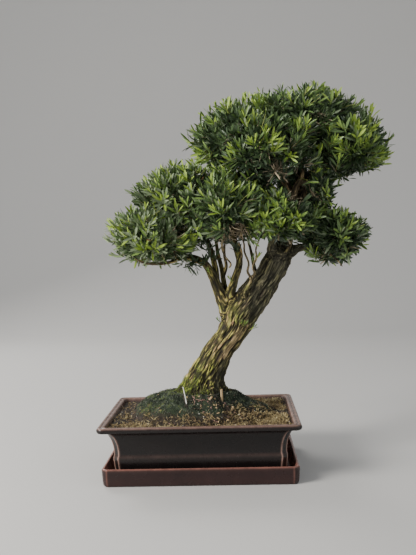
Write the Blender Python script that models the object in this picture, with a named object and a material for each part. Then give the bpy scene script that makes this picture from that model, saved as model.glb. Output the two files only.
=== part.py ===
"""A boxwood bonsai in a glazed rectangular pot that stands in a drip tray.

Each sub-part is one closed solid: tray, pot, soil, moss mound, trunk, leader, boughs and leaf masses.
Frame: X to the right, Y away from the viewer, Z up, in metres. The origin is the centre of the
tray's flat underside.
"""

import math
import random

import bmesh
import bpy
import numpy as np

GAP = 0.0003  # clearance between pieces that touch

# Tray: a shallow glazed dish with nearly upright walls
TRAY_HALF_X = 0.146
TRAY_HALF_Y = 0.102
TRAY_HEIGHT = 0.0265
TRAY_FLOOR = 0.008
TRAY_WALL = 0.0055
TRAY_LEAN = 0.0015  # how much smaller the underside is than the rim, on each side
TRAY_INNER_LEAN = 0.0035
TRAY_CORNER = 0.009
TRAY_ROUND = 0.0025  # size of the rounding at its foot, lip and inner floor

# Pot: a rolled rim over a hollow-sided body on a plain skirt
POT_HALF_X = 0.150
POT_HALF_Y = 0.110
POT_TOP = 0.0890
POT_CORNER = 0.010
RIM_HEIGHT = 0.0085
RIM_BAND = 0.011  # width of the flat band on top of the rim
RIM_GROOVE = 0.0006  # depth of the groove along that band
BODY_INSET = 0.0105  # from the rim's outside to the body under it
WAIST_INSET = 0.0222  # from the rim's outside to the narrowest place
WAIST_Z = 0.0450
COVE_DEPTH = 0.92  # how much of a quarter round the hollow side is
SKIRT_INSET = 0.0210
SKIRT_Z = 0.0415
SKIRT_FOOT_INSET = 0.0242
POT_WALL = 0.0095
POT_FLOOR = 0.009
FOOT_RECESS = 0.004
FOOT_WIDTH = 0.008
DRAIN_RADIUS = 0.009
DRAIN_X = 0.060
DRAIN_SIDES = 16
DRILL_OVERSHOOT = 0.005
INNER_CORNER = 0.0075  # rounding of the corners that lie inside the rim's own
CORNER_STEPS = 4
COVE_STEPS = 5

# Soil and the mossy mound that the trunk stands on
SOIL_Z = 0.0820
SOIL_EDGE_DROP = 0.0015
SOIL_EDGE_WIDTH = 0.006
GROUND_Z = 0.1190
MOUND_HALF_X = 0.118
MOUND_HALF_Y = 0.086
MOUND_EDGE = 0.0015
MOUND_SEAT = 1.06  # the flat seat under the trunk, in radii of its foot
MOUND_MARGIN = 0.003  # moss seat beyond the trunk's foot
MOUND_WAVES = (0.03, 0.02)  # how far the mound's outline swings in and out, as shares
MOUND_BULGE = 0.75  # how much rounder the mound's left slope is than its right one
MOUND_FALL = (1.3, 0.9)  # how fast the right and the left slope fall away from the trunk
MOUND_LUMPS = 0.0034  # height of the roots and moss cushions that show as lumps
LUMP_WAVE = 137.0  # radians for each metre, which puts the lumps about 46 mm apart
LUMP_SWAY = (1.6, 90.0)  # how far, in radians, and how fast the rows of lumps wind
LUMP_TURN = 0.9
LUMP_FADE = 6.4  # how soon the lumps rise from the seat and from the edge
MOUND_RINGS = 7
MOUND_SIDES = 40

# Trunk and leader: one axis from the ground to the tip, as x, y, z and radius
AXIS = (
    (0.0010, 0.000, GROUND_Z, 0.0308),
    (0.0050, 0.000, 0.1335, 0.0280),
    (0.0145, 0.000, 0.1555, 0.0244),
    (0.0300, 0.000, 0.1830, 0.0216),
    (0.0440, 0.000, 0.2015, 0.0208),
    (0.0570, 0.000, 0.2205, 0.0228),
    (0.0670, 0.001, 0.2410, 0.0266),
    (0.0820, 0.001, 0.2610, 0.0256),
    (0.0970, 0.001, 0.2810, 0.0230),
    (0.1105, 0.001, 0.2975, 0.0202),
    (0.1215, 0.000, 0.3165, 0.0210),
    (0.1305, 0.000, 0.3330, 0.0182),
    (0.1380, 0.001, 0.3490, 0.0124),
    (0.1460, 0.002, 0.3780, 0.0098),
    (0.1575, 0.004, 0.4170, 0.0082),
    (0.1640, 0.006, 0.4520, 0.0066),
    (0.1660, 0.008, 0.4810, 0.0052),
    (0.1675, 0.010, 0.5330, 0.0040),
)
LEADER_Z = 0.3630  # the trunk ends here in its upper fork, and the leader goes on
AXIS_SIDES = 24
LEADER_SIDES = 12
AXIS_STEP = 0.0125
AXIS_SETTLE = 0.030  # height over which the trunk's rings turn from level to square
FLUTES = 7
FLUTE_DEPTH = 0.055
FLUTE_TWIST = 5.0  # radians for each metre of height

# Root flare: direction in degrees, and how far the root stands out at the ground
ROOTS = (
    (184, 0.017),
    (232, 0.011),
    (292, 0.013),
    (352, 0.020),
    (52, 0.012),
    (118, 0.011),
)
ROOT_WIDTH = math.radians(17)
ROOT_FADE = 0.0125  # height over which a root runs into the trunk

# Boughs: the limb and the mass that each joins, and the stations of its line as x, y, z and radius.
# The line starts inside the carrying limb and ends in the mass's heart.
BOUGHS = {
    "bough_left_low": (
        "trunk",
        "mass_left_low",
        (
            (0.0500, 0.0000, 0.2350, 0.0145),
            (0.0425, -0.0010, 0.2560, 0.0125),
            (0.0340, -0.0025, 0.2770, 0.0094),
            (0.0248, -0.0040, 0.2995, 0.0072),
            (0.0125, -0.0070, 0.3220, 0.0058),
            (-0.0050, -0.0100, 0.3320, 0.0048),
            (-0.0340, -0.0150, 0.3370, 0.0040),
            (-0.0800, -0.0200, 0.3620, 0.0026),
        ),
    ),
    "bough_left_high": (
        "bough_left_low",
        "mass_left_high",
        (
            (0.0290, -0.0030, 0.2895, 0.0058),
            (0.0280, 0.0050, 0.3135, 0.0050),
            (0.0205, 0.0090, 0.3470, 0.0043),
            (0.0060, 0.0090, 0.3785, 0.0036),
            (-0.0290, 0.0080, 0.4300, 0.0025),
        ),
    ),
    "bough_middle": (
        "trunk",
        "mass_centre",
        (
            (0.0590, -0.0040, 0.2480, 0.0092),
            (0.0520, -0.0090, 0.2730, 0.0078),
            (0.0575, -0.0110, 0.2930, 0.0062),
            (0.0665, -0.0120, 0.3230, 0.0054),
            (0.0610, -0.0160, 0.3500, 0.0046),
            (0.0560, -0.0280, 0.3970, 0.0026),
        ),
    ),
    "bough_front": (
        "trunk",
        "mass_front_low",
        (
            (0.1250, 0.0000, 0.3220, 0.0120),
            (0.1185, -0.0120, 0.3400, 0.0090),
            (0.1175, -0.0270, 0.3535, 0.0058),
            (0.1230, -0.0430, 0.3670, 0.0042),
            (0.1300, -0.0610, 0.3850, 0.0026),
        ),
    ),
    "bough_right": (
        "trunk",
        "mass_right_low",
        (
            (0.1290, 0.0000, 0.3190, 0.0138),
            (0.1440, -0.0020, 0.3350, 0.0100),
            (0.1625, -0.0030, 0.3430, 0.0062),
            (0.1840, -0.0020, 0.3450, 0.0045),
            (0.2215, 0.0000, 0.3570, 0.0027),
        ),
    ),
    "bough_back_left": (
        "leader",
        "mass_back_left",
        (
            (0.1465, 0.0020, 0.3730, 0.0060),
            (0.1350, 0.0180, 0.3885, 0.0046),
            (0.1210, 0.0340, 0.3985, 0.0038),
            (0.0865, 0.0690, 0.4210, 0.0025),
        ),
    ),
    "bough_back_right": (
        "leader",
        "mass_back_right",
        (
            (0.1495, 0.0030, 0.3820, 0.0058),
            (0.1570, 0.0200, 0.3905, 0.0045),
            (0.1600, 0.0340, 0.3975, 0.0037),
            (0.1640, 0.0650, 0.4150, 0.0025),
        ),
    ),
    "bough_right_mid": (
        "leader",
        "mass_right_mid",
        (
            (0.1540, 0.0030, 0.3995, 0.0054),
            (0.1640, -0.0030, 0.4140, 0.0042),
            (0.1740, -0.0060, 0.4230, 0.0035),
            (0.1860, -0.0090, 0.4340, 0.0025),
        ),
    ),
    "bough_top_front": (
        "leader",
        "mass_top_front",
        (
            (0.1555, 0.0030, 0.4090, 0.0056),
            (0.1490, -0.0180, 0.4270, 0.0044),
            (0.1380, -0.0375, 0.4460, 0.0036),
            (0.1200, -0.0690, 0.4790, 0.0025),
        ),
    ),
    "bough_top_left": (
        "leader",
        "mass_top_left",
        (
            (0.1590, 0.0040, 0.4230, 0.0060),
            (0.1400, 0.0000, 0.4470, 0.0048),
            (0.1160, -0.0030, 0.4670, 0.0040),
            (0.0700, -0.0050, 0.5080, 0.0026),
        ),
    ),
    "bough_top_right": (
        "leader",
        "mass_top_right",
        (
            (0.1620, 0.0050, 0.4355, 0.0058),
            (0.1780, 0.0040, 0.4560, 0.0046),
            (0.1950, 0.0020, 0.4710, 0.0038),
            (0.2240, 0.0000, 0.4930, 0.0026),
        ),
    ),
}
BOUGH_SIDES = 8
BOUGH_STEP = 0.009
STEM_SIDES = 5
BOUGH_KNOTS = 0.06  # uneven bark, as a share of the radius
SHORTEST_BOUGH = 0.008
COLLAR_CLEARANCE = 0.0012  # a bough starts this clear of the limb that carries it and of its neighbours

# Leaf masses: heart, half width in X and Y, height above and below the heart, and the directions of
# the shoots that make its furthest tips
MASSES = {
    "mass_left_low": ((-0.062, -0.020, 0.368), (0.077, 0.092), (0.052, 0.049), ((-1, 0, -0.1),)),
    "mass_left_high": ((-0.018, 0.008, 0.426), (0.086, 0.100), (0.057, 0.053), ((-0.8, 0, 0.3),)),
    "mass_centre": ((0.056, -0.032, 0.401), (0.069, 0.100), (0.074, 0.058), ((0, -1, 0.1),)),
    "mass_front_low": ((0.130, -0.062, 0.387), (0.060, 0.058), (0.058, 0.044), ((0, -1, 0),)),
    "mass_right_low": ((0.214, 0.000, 0.363), (0.060, 0.088), (0.039, 0.057), ((1, 0, 0.3),)),
    "mass_right_mid": ((0.178, -0.010, 0.438), (0.039, 0.080), (0.047, 0.042), ((0.6, -0.6, 0.1),)),
    "mass_top_left": ((0.078, -0.005, 0.512), (0.086, 0.106), (0.060, 0.064), ((-1, 0, 0.2),)),
    "mass_top_front": ((0.116, -0.066, 0.484), (0.078, 0.060), (0.070, 0.064), ((0, -1, 0.2),)),
    "mass_top_mid": ((0.168, 0.012, 0.534), (0.097, 0.122), (0.059, 0.070), ((0.1, 0, 1), (0, 1, 0))),
    "mass_top_right": ((0.224, 0.000, 0.492), (0.080, 0.104), (0.064, 0.044), ((1, 0, -0.1),)),
    "mass_back_left": ((0.080, 0.064, 0.423), (0.086, 0.060), (0.074, 0.060), ((-0.3, 1, 0),)),
    "mass_back_right": ((0.164, 0.060, 0.418), (0.066, 0.064), (0.072, 0.058), ((0.3, 1, 0),)),
}
BLEND = 6.0  # how sharply masses that meet keep their own forms; lower fills the creases more
LUMPS = 0.08  # uneven surface of the crown, as a share of a mass's half size
SPACE_MARGIN = 0.022  # how clearly a place belongs to one mass, as a share of its half size
TIP_INSET = 0.93  # a bough ends where its line is this deep in its mass
CORE_SHARE = 0.73  # of the way to the mass's surface
CORE_INSET = 0.0016  # from the edge of the mass's own space
CORE_UNEVEN = 0.10  # how much of its reach a point of the core may fall short
CORE_AROUND = 12
CORE_RINGS = 6
CORE_LIMB_CLEARANCE = 0.0090
SHOOT_AREA = 0.0043  # surface of a mass for each shoot
SHOOT_ROOT = 0.35  # of its reach, where a twig starts inside the core
OUTER_GAUGE = 0.90  # shoots grow only where the mass's space goes this far towards the crown's surface
REACH_START = 0.006
REACH_STEP = 0.001
SHOOT_SCATTER = 0.12  # how far a shoot's direction may stray from its place in the spiral
SHORTEST_TWIG = 0.004
TWIG_OVERLAP = 0.002
TWIG_END_SHARE = 0.84  # of a leaf, from the last pair of leaves to the edge of the space
PAIR_SPACING = 0.009
LEAF_SHARES = (1.0, 0.8, 0.62)  # tried in turn where a whole leaf doesn't fit
TWIG_BASE = 0.0021
TWIG_TIP = 0.0012
TWIG_CLEARANCE = 0.0010
LEAF_LENGTH = 0.0350
LEAF_WIDTH = 0.0130
LEAF_THICKNESS = 0.0014
LEAF_WIDEST = 0.58  # share of the leaf's length, from its root
LEAF_SPLAYS = (math.radians(24), math.radians(52))  # of the first and the second pair
LEAF_RISE = 0.25
LEAF_SINK = 0.0003
LEAF_STAGGER = 0.0014  # between the two leaves of a pair
LIMB_BULGE = 1 + max(FLUTE_DEPTH, BOUGH_KNOTS)  # a limb's widest place, in radii
GOLDEN_TURN = math.pi * (3 - math.sqrt(5))
SEED = 41

# Colour, roughness and metallic value of each material
FINISHES = {
    "tray": ((0.105, 0.040, 0.032), 0.28, 0.0),
    "pot": ((0.052, 0.024, 0.020), 0.22, 0.0),
    "soil": ((0.190, 0.150, 0.080), 0.95, 0.0),
    "moss_mound": ((0.040, 0.060, 0.022), 0.95, 0.0),
    "bark": ((0.330, 0.290, 0.150), 0.90, 0.0),
    "foliage": ((0.060, 0.150, 0.030), 0.45, 0.0),
}


def clear_scene():
    for item in list(bpy.data.objects):
        bpy.data.objects.remove(item, do_unlink=True)


def material(name):
    """The material of that name, made on its first use."""
    if name in bpy.data.materials:
        return bpy.data.materials[name]
    colour, roughness, metallic = FINISHES[name]
    made = bpy.data.materials.new(name)
    made.use_nodes = True
    shader = made.node_tree.nodes["Principled BSDF"]
    shader.inputs["Base Color"].default_value = (*colour, 1.0)
    shader.inputs["Roughness"].default_value = roughness
    shader.inputs["Metallic"].default_value = metallic
    return made


def add_object(name, points, faces, finish):
    """A mesh object from points in metres and faces as lists of point numbers."""
    mesh = bpy.data.meshes.new(name)
    mesh.from_pydata([tuple(point) for point in points], [], faces)
    mesh.update()
    made = bpy.data.objects.new(name, mesh)
    bpy.context.collection.objects.link(made)
    made.data.materials.append(material(finish))
    return made


def smooth(item, angle=35):
    item.data.shade_smooth()
    item.data.set_sharp_from_angle(angle=math.radians(angle))


def loft(rings):
    """Points and faces of a closed solid through rings of equal point counts, both ends capped."""
    count = len(rings[0])
    points = [point for ring in rings for point in ring]
    faces = []
    for level in range(len(rings) - 1):
        below = level * count
        above = below + count
        for side in range(count):
            after = (side + 1) % count
            faces.append((below + side, below + after, above + after, above + side))
    faces.append(tuple(reversed(range(count))))
    faces.append(tuple(range(len(points) - count, len(points))))
    return points, faces


def is_closed(mesh):
    """True if every edge of the mesh has exactly two faces."""
    checked = bmesh.new()
    checked.from_mesh(mesh)
    closed = all(edge.is_manifold for edge in checked.edges)
    checked.free()
    return closed and len(mesh.polygons) > 0


def keep_main_body(mesh):
    """Drops every loose scrap and the skin of every sealed hollow, and turns the rest to triangles."""
    shape = bmesh.new()
    shape.from_mesh(mesh)
    bmesh.ops.triangulate(shape, faces=shape.faces[:])
    left = set(shape.faces)
    groups = []
    while left:
        start = left.pop()
        group = [start]
        queue = [start]
        while queue:
            for edge in queue.pop().edges:
                for face in edge.link_faces:
                    if face in left:
                        left.remove(face)
                        group.append(face)
                        queue.append(face)
        groups.append(group)

    def volume(group):
        total = 0.0
        for face in group:
            a, b, c = (corner.co for corner in face.verts)
            total += a.dot(b.cross(c)) / 6
        return total

    groups.sort(key=volume)
    for group in groups[:-1]:
        bmesh.ops.delete(shape, geom=group, context="FACES")
    loose = [corner for corner in shape.verts if not corner.link_faces]
    bmesh.ops.delete(shape, geom=loose, context="VERTS")
    shape.to_mesh(mesh)
    shape.free()
    mesh.update()


def combine(base, others, operation="UNION"):
    """Joins or cuts the base with the other objects, which are then removed."""
    group = bpy.data.collections.new(base.name + "_operands")
    bpy.context.scene.collection.children.link(group)
    for other in others:
        bpy.context.collection.objects.unlink(other)
        group.objects.link(other)
    joiner = base.modifiers.new("combine", "BOOLEAN")
    joiner.operation = operation
    joiner.operand_type = "COLLECTION"
    joiner.collection = group
    result = None
    for solver in ("EXACT", "MANIFOLD"):
        joiner.solver = solver
        seen = base.evaluated_get(bpy.context.evaluated_depsgraph_get())
        result = bpy.data.meshes.new_from_object(seen)
        keep_main_body(result)
        if is_closed(result):
            break
    base.modifiers.remove(joiner)
    base.data = result
    for other in others:
        bpy.data.objects.remove(other, do_unlink=True)
    bpy.data.collections.remove(group)
    return base


def rounded_ring(half_x, half_y, radius, z):
    """A rectangle with round corners, anticlockwise from above."""
    ring = []
    for sign_x, sign_y, start in ((1, 1, 0), (-1, 1, 90), (-1, -1, 180), (1, -1, 270)):
        for step in range(CORNER_STEPS + 1):
            angle = math.radians(start + 90 * step / CORNER_STEPS)
            x = sign_x * (half_x - radius) + radius * math.cos(angle)
            y = sign_y * (half_y - radius) + radius * math.sin(angle)
            ring.append((x, y, z))
    return ring


def dish_rings(half_x, half_y, corner, profile):
    """Rings at each inset and height of the profile, with corners that keep their centres."""
    rings = []
    for inset, z in profile:
        rings.append(rounded_ring(half_x - inset, half_y - inset, max(corner - inset, INNER_CORNER), z))
    return rings


def make_tray():
    inner_foot = TRAY_WALL + TRAY_INNER_LEAN
    profile = (
        (TRAY_LEAN + TRAY_ROUND, 0.0),
        (TRAY_LEAN + 0.2 * TRAY_ROUND, TRAY_ROUND),
        (0.2 * TRAY_ROUND, TRAY_HEIGHT - TRAY_ROUND),
        (0.4 * TRAY_ROUND, TRAY_HEIGHT - 0.3 * TRAY_ROUND),
        (TRAY_ROUND, TRAY_HEIGHT),
        (TRAY_WALL - 0.5 * TRAY_ROUND, TRAY_HEIGHT - 0.1 * TRAY_ROUND),
        (TRAY_WALL, TRAY_HEIGHT - TRAY_ROUND),
        (inner_foot, TRAY_FLOOR + TRAY_ROUND),
        (inner_foot + TRAY_ROUND, TRAY_FLOOR),
    )
    tray = add_object("tray", *loft(dish_rings(TRAY_HALF_X, TRAY_HALF_Y, TRAY_CORNER, profile)), "tray")
    smooth(tray)


def pot_inner_profile():
    """The cavity of the pot as insets and heights, from its mouth down to its floor."""
    body_top = POT_TOP - RIM_HEIGHT
    return (
        (RIM_BAND, POT_TOP - 0.15 * RIM_HEIGHT),
        (RIM_BAND + 0.15 * RIM_HEIGHT, POT_TOP - 0.55 * RIM_HEIGHT),
        (BODY_INSET + POT_WALL, body_top - POT_WALL),
        (WAIST_INSET + POT_WALL, WAIST_Z),
        (WAIST_INSET + POT_WALL + GAP, TRAY_FLOOR + GAP + POT_FLOOR + FOOT_RECESS),
    )


def cove_profile():
    """The hollow side of the pot, from its waist up to the rim, as insets and heights."""
    top = POT_TOP - RIM_HEIGHT - GAP
    whole_flare = 1 - math.sqrt(1 - COVE_DEPTH**2)
    profile = []
    for step in range(COVE_STEPS + 1):
        share = step / COVE_STEPS
        flare = (1 - math.sqrt(1 - (COVE_DEPTH * share) ** 2)) / whole_flare
        profile.append((WAIST_INSET + (BODY_INSET - WAIST_INSET) * flare, WAIST_Z + (top - WAIST_Z) * share))
    return profile


def make_drill(x, bottom, top):
    rings = []
    for z in (bottom, top):
        ring = []
        for step in range(DRAIN_SIDES):
            angle = 2 * math.pi * step / DRAIN_SIDES
            ring.append((x + DRAIN_RADIUS * math.cos(angle), DRAIN_RADIUS * math.sin(angle), z))
        rings.append(ring)
    return add_object("drill", *loft(rings), "pot")


def make_pot():
    bottom = TRAY_FLOOR + GAP
    under_rim = POT_TOP - RIM_HEIGHT
    groove_inset = 0.56 * RIM_BAND
    profile = [
        (SKIRT_FOOT_INSET + FOOT_WIDTH + 0.5 * FOOT_RECESS, bottom + FOOT_RECESS),
        (SKIRT_FOOT_INSET + FOOT_WIDTH, bottom),
        (SKIRT_FOOT_INSET, bottom),
        (SKIRT_INSET, SKIRT_Z - 0.1 * SKIRT_Z),
        (SKIRT_INSET + GAP, SKIRT_Z),
        (WAIST_INSET - 2 * GAP, WAIST_Z - 0.04 * WAIST_Z),
    ]
    profile += cove_profile()
    profile += [
        (0.35 * BODY_INSET, under_rim),
        (0.07 * BODY_INSET, under_rim + 0.2 * RIM_HEIGHT),
        (0.0, under_rim + 0.5 * RIM_HEIGHT),
        (0.08 * RIM_BAND, POT_TOP - 0.13 * RIM_HEIGHT),
        (0.25 * RIM_BAND, POT_TOP),
        (0.80 * groove_inset, POT_TOP - GAP),
        (groove_inset, POT_TOP - GAP - RIM_GROOVE),
        (1.20 * groove_inset, POT_TOP - GAP),
        (0.90 * RIM_BAND, POT_TOP - GAP),
    ]
    profile += pot_inner_profile()
    pot = add_object("pot", *loft(dish_rings(POT_HALF_X, POT_HALF_Y, POT_CORNER, profile)), "pot")
    floor_top = bottom + FOOT_RECESS + POT_FLOOR
    drills = [
        make_drill(side * DRAIN_X, bottom - DRILL_OVERSHOOT, floor_top + DRILL_OVERSHOOT) for side in (-1, 1)
    ]
    combine(pot, drills, "DIFFERENCE")
    smooth(pot)


def make_soil():
    """The soil fills the pot up to a little under its rim."""
    floor = TRAY_FLOOR + GAP + FOOT_RECESS + POT_FLOOR
    cavity = sorted(pot_inner_profile(), key=lambda entry: entry[1])
    heights = [entry[1] for entry in cavity]
    insets = [entry[0] for entry in cavity]

    def inset_at(z):
        return float(np.interp(z, heights, insets)) + 2 * GAP

    levels = (floor + GAP, WAIST_Z, POT_TOP - RIM_HEIGHT - POT_WALL, SOIL_Z - SOIL_EDGE_DROP)
    profile = [(inset_at(z), z) for z in levels]
    profile.append((inset_at(SOIL_Z) + SOIL_EDGE_WIDTH, SOIL_Z))
    soil = add_object("soil", *loft(dish_rings(POT_HALF_X, POT_HALF_Y, POT_CORNER, profile)), "soil")
    smooth(soil)


def root_spread(angle):
    """How far the root flare stands out of the trunk at the ground, in that direction."""
    spread = 0.0
    for degrees, reach in ROOTS:
        turn = (angle - math.radians(degrees) + math.pi) % (2 * math.pi) - math.pi
        spread += reach * math.exp(-((turn / ROOT_WIDTH) ** 2))
    return spread


def mound_shape(x, y):
    """The mound's height at a place, as a share of its own, and its lumps there in metres."""
    foot_x, foot_y, _, foot_radius = AXIS[0]
    away = math.hypot(x - foot_x, y - foot_y)
    angle = math.atan2(y - foot_y, x - foot_x)
    seat = foot_radius * MOUND_SEAT + root_spread(angle) + MOUND_MARGIN
    share = min(max((away - seat) / (mound_edge(angle) - seat), 0.0), 1.0)
    left = 0.5 - 0.5 * math.cos(angle)
    fall = MOUND_FALL[0] + (MOUND_FALL[1] - MOUND_FALL[0]) * left
    rise = (1 - share ** (1 + MOUND_BULGE * left)) ** fall
    sway = LUMP_SWAY[0] * math.sin(LUMP_SWAY[1] * y)
    lumps = math.sin(LUMP_WAVE * x + sway) * math.sin(LUMP_WAVE * y + LUMP_TURN)
    return rise, MOUND_LUMPS * lumps * min(LUMP_FADE * share * (1 - share), 1.0)


def mound_edge(angle):
    """How far the mound reaches from the trunk in that direction."""
    edge = 1 / math.hypot(math.cos(angle) / MOUND_HALF_X, math.sin(angle) / MOUND_HALF_Y)
    return edge * (1 + MOUND_WAVES[0] * math.sin(3 * angle + 1.0) + MOUND_WAVES[1] * math.sin(7 * angle))


def make_mound():
    """A mossy hill with a flat seat the shape of the trunk's foot."""
    foot_x, foot_y, _, foot_radius = AXIS[0]
    bottom = SOIL_Z + GAP
    rings = []
    for level in range(MOUND_RINGS + 2):
        share = 1 - max(level - 1, 0) / MOUND_RINGS
        ring = []
        for side in range(MOUND_SIDES):
            angle = 2 * math.pi * side / MOUND_SIDES
            seat = foot_radius * MOUND_SEAT + root_spread(angle) + MOUND_MARGIN
            out = seat + (mound_edge(angle) - seat) * share
            x = foot_x + out * math.cos(angle)
            y = foot_y + out * math.sin(angle)
            rise, lumps = mound_shape(x, y)
            z = bottom
            if level:
                z += MOUND_EDGE + (GROUND_Z - GAP - bottom - MOUND_EDGE) * rise + lumps
            ring.append((x, y, z))
        rings.append(ring)
    mound = add_object("moss_mound", *loft(rings), "moss_mound")
    smooth(mound)


class Line:
    """A limb's line: a smooth curve through stations of x, y, z and radius, read by its length."""

    def __init__(self, stations, step, first_side=(0.0, 1.0, 0.0)):
        knots = np.array(stations, float)
        before = 2 * knots[0] - knots[1]
        after = 2 * knots[-1] - knots[-2]
        knots = np.vstack([before, knots, after])
        fine = []
        for place in range(1, len(knots) - 2):
            a, b, c, d = knots[place - 1 : place + 3]
            for share in np.linspace(0, 1, 12, endpoint=False):
                curve = 2 * b + (c - a) * share
                curve = curve + (2 * a - 5 * b + 4 * c - d) * share**2
                curve = curve + (3 * b - a - 3 * c + d) * share**3
                fine.append(curve / 2)
        fine.append(knots[-2])
        fine = np.array(fine)
        hops = np.linalg.norm(np.diff(fine[:, :3], axis=0), axis=1)
        self.along = np.concatenate([[0], np.cumsum(hops)])
        self.length = float(self.along[-1])
        self.fine = fine
        self.step = step
        self.tangents = np.gradient(fine[:, :3], self.along, axis=0)
        self.tangents /= np.linalg.norm(self.tangents, axis=1)[:, None]
        side = np.array(first_side, float)
        sides = []
        for tangent in self.tangents:
            side = side - tangent * side.dot(tangent)
            side = side / np.linalg.norm(side)
            sides.append(side)
        self.sides = np.array(sides)

    def at(self, distance):
        """Centre, radius, tangent and first side at that distance along the line."""
        values = [np.interp(distance, self.along, self.fine[:, i]) for i in range(4)]
        tangent = np.array([np.interp(distance, self.along, self.tangents[:, i]) for i in range(3)])
        side = np.array([np.interp(distance, self.along, self.sides[:, i]) for i in range(3)])
        tangent /= np.linalg.norm(tangent)
        side -= tangent * side.dot(tangent)
        side /= np.linalg.norm(side)
        return np.array(values[:3]), float(values[3]), tangent, side

    def surface_gap(self, point):
        """How far the point is from the limb's surface."""
        return float((np.linalg.norm(self.fine[:, :3] - point, axis=1) - self.fine[:, 3] * LIMB_BULGE).min())

    def distance_where(self, test):
        """The first distance at which the test of a point holds."""
        for distance in np.arange(0, self.length, 0.0005):
            if test(self.at(distance)[0]):
                return float(distance)
        return self.length

    def places(self, start, end):
        count = max(1, round((end - start) / self.step))
        return np.linspace(start, end, count + 1)


def limb_rings(line, start, end, sides, shape):
    """Rings round a line. shape gives a point's share of the radius from its angle and place."""
    rings = []
    for distance in line.places(start, end):
        centre, radius, tangent, side = line.at(distance)
        across = np.cross(tangent, side)
        ring = []
        for number in range(sides):
            angle = 2 * math.pi * number / sides
            out = radius * shape(angle, distance)
            ring.append(centre + out * (math.cos(angle) * side + math.sin(angle) * across))
        rings.append(ring)
    return rings


def bough_shape(angle, distance):
    return 1 + BOUGH_KNOTS * math.sin(3 * angle + 90 * distance) * math.cos(2 * angle + 140 * distance)


def axis_rings(line, start, end, sides):
    """Rings of the trunk and leader, level at the ground, with flutes and the root flare."""
    rings = []
    for distance in line.places(start, end):
        centre, radius, tangent, _ = line.at(distance)
        height = centre[2] - GROUND_Z
        settle = min(1.0, height / AXIS_SETTLE)
        up = np.array([0, 0, 1]) * (1 - settle) + tangent * settle
        up /= np.linalg.norm(up)
        side = np.array([1.0, 0, 0])
        side -= up * side.dot(up)
        side /= np.linalg.norm(side)
        across = np.cross(up, side)
        fade = math.exp(-height / ROOT_FADE)
        ring = []
        for number in range(sides):
            angle = 2 * math.pi * number / sides
            flute = math.cos(FLUTES * (angle + FLUTE_TWIST * height))
            out = radius * (1 + FLUTE_DEPTH * flute) + root_spread(angle) * fade
            ring.append(centre + out * (math.cos(angle) * side + math.sin(angle) * across))
        rings.append(ring)
    return rings


class Limbs:
    """Every limb's line as short round lengths, to keep leaves and cores clear of them."""

    def __init__(self):
        self.starts = []
        self.ends = []
        self.radii = []

    def add(self, line, start, end):
        places = np.arange(start, end + 0.004, 0.004)
        for near, far in zip(places[:-1], places[1:]):
            a, radius_a, _, _ = line.at(near)
            b, radius_b, _, _ = line.at(min(far, end))
            if np.linalg.norm(b - a) > 1e-5:
                self.starts.append(a)
                self.ends.append(b)
                self.radii.append(max(radius_a, radius_b) * LIMB_BULGE)

    def settle(self):
        self.starts = np.array(self.starts)
        self.ways = np.array(self.ends) - self.starts
        self.squares = (self.ways**2).sum(axis=1)
        self.radii = np.array(self.radii)

    def clear(self, point, clearance):
        away = point - self.starts
        share = np.clip((away * self.ways).sum(axis=1) / self.squares, 0, 1)
        gaps = np.linalg.norm(away - self.ways * share[:, None], axis=1) - self.radii
        return bool(gaps.min() > clearance)


def gauge(name, point):
    """0 at the heart of a mass and 1 on the surface of its own oval form."""
    heart, halves, heights, _ = MASSES[name]
    away = np.asarray(point) - heart
    height = heights[0] if away[2] > 0 else heights[1]
    return math.sqrt((away[0] / halves[0]) ** 2 + (away[1] / halves[1]) ** 2 + (away[2] / height) ** 2)


def unevenness(point):
    """Swells and hollows of the crown at a place, from -1 to 1, about 60 mm apart."""
    x, y, z = point
    swells = math.sin(95 * x + 2 * math.sin(60 * y))
    swells += math.sin(88 * y + 2 * math.sin(70 * z))
    swells += math.sin(101 * z + 2 * math.sin(55 * x))
    return swells / 3


def crown_gauge(gauges, point):
    """1 on the surface of the crown, where masses that meet fill the crease between them."""
    blended = -math.log(sum(math.exp(-BLEND * value) for value in gauges)) / BLEND
    return blended - LUMPS * unevenness(point)


def belongs(name, point):
    """True if the point is inside the crown, in the mass's own space and in no other's."""
    gauges = {other: gauge(other, point) for other in MASSES}
    if crown_gauge(gauges.values(), point) > 1:
        return False
    own = gauges.pop(name)
    return min(gauges.values()) - own > SPACE_MARGIN


def outwardness(point):
    """1 on the surface of the crown and less inside it."""
    return crown_gauge([gauge(name, point) for name in MASSES], point)


def reach(name, direction, limbs, clearance):
    """How far the mass's space goes from its heart in that direction."""
    heart = np.array(MASSES[name][0])
    distance = REACH_START
    while belongs(name, heart + direction * distance) and limbs.clear(heart + direction * distance, clearance):
        distance += REACH_STEP
    return distance - REACH_STEP


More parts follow.
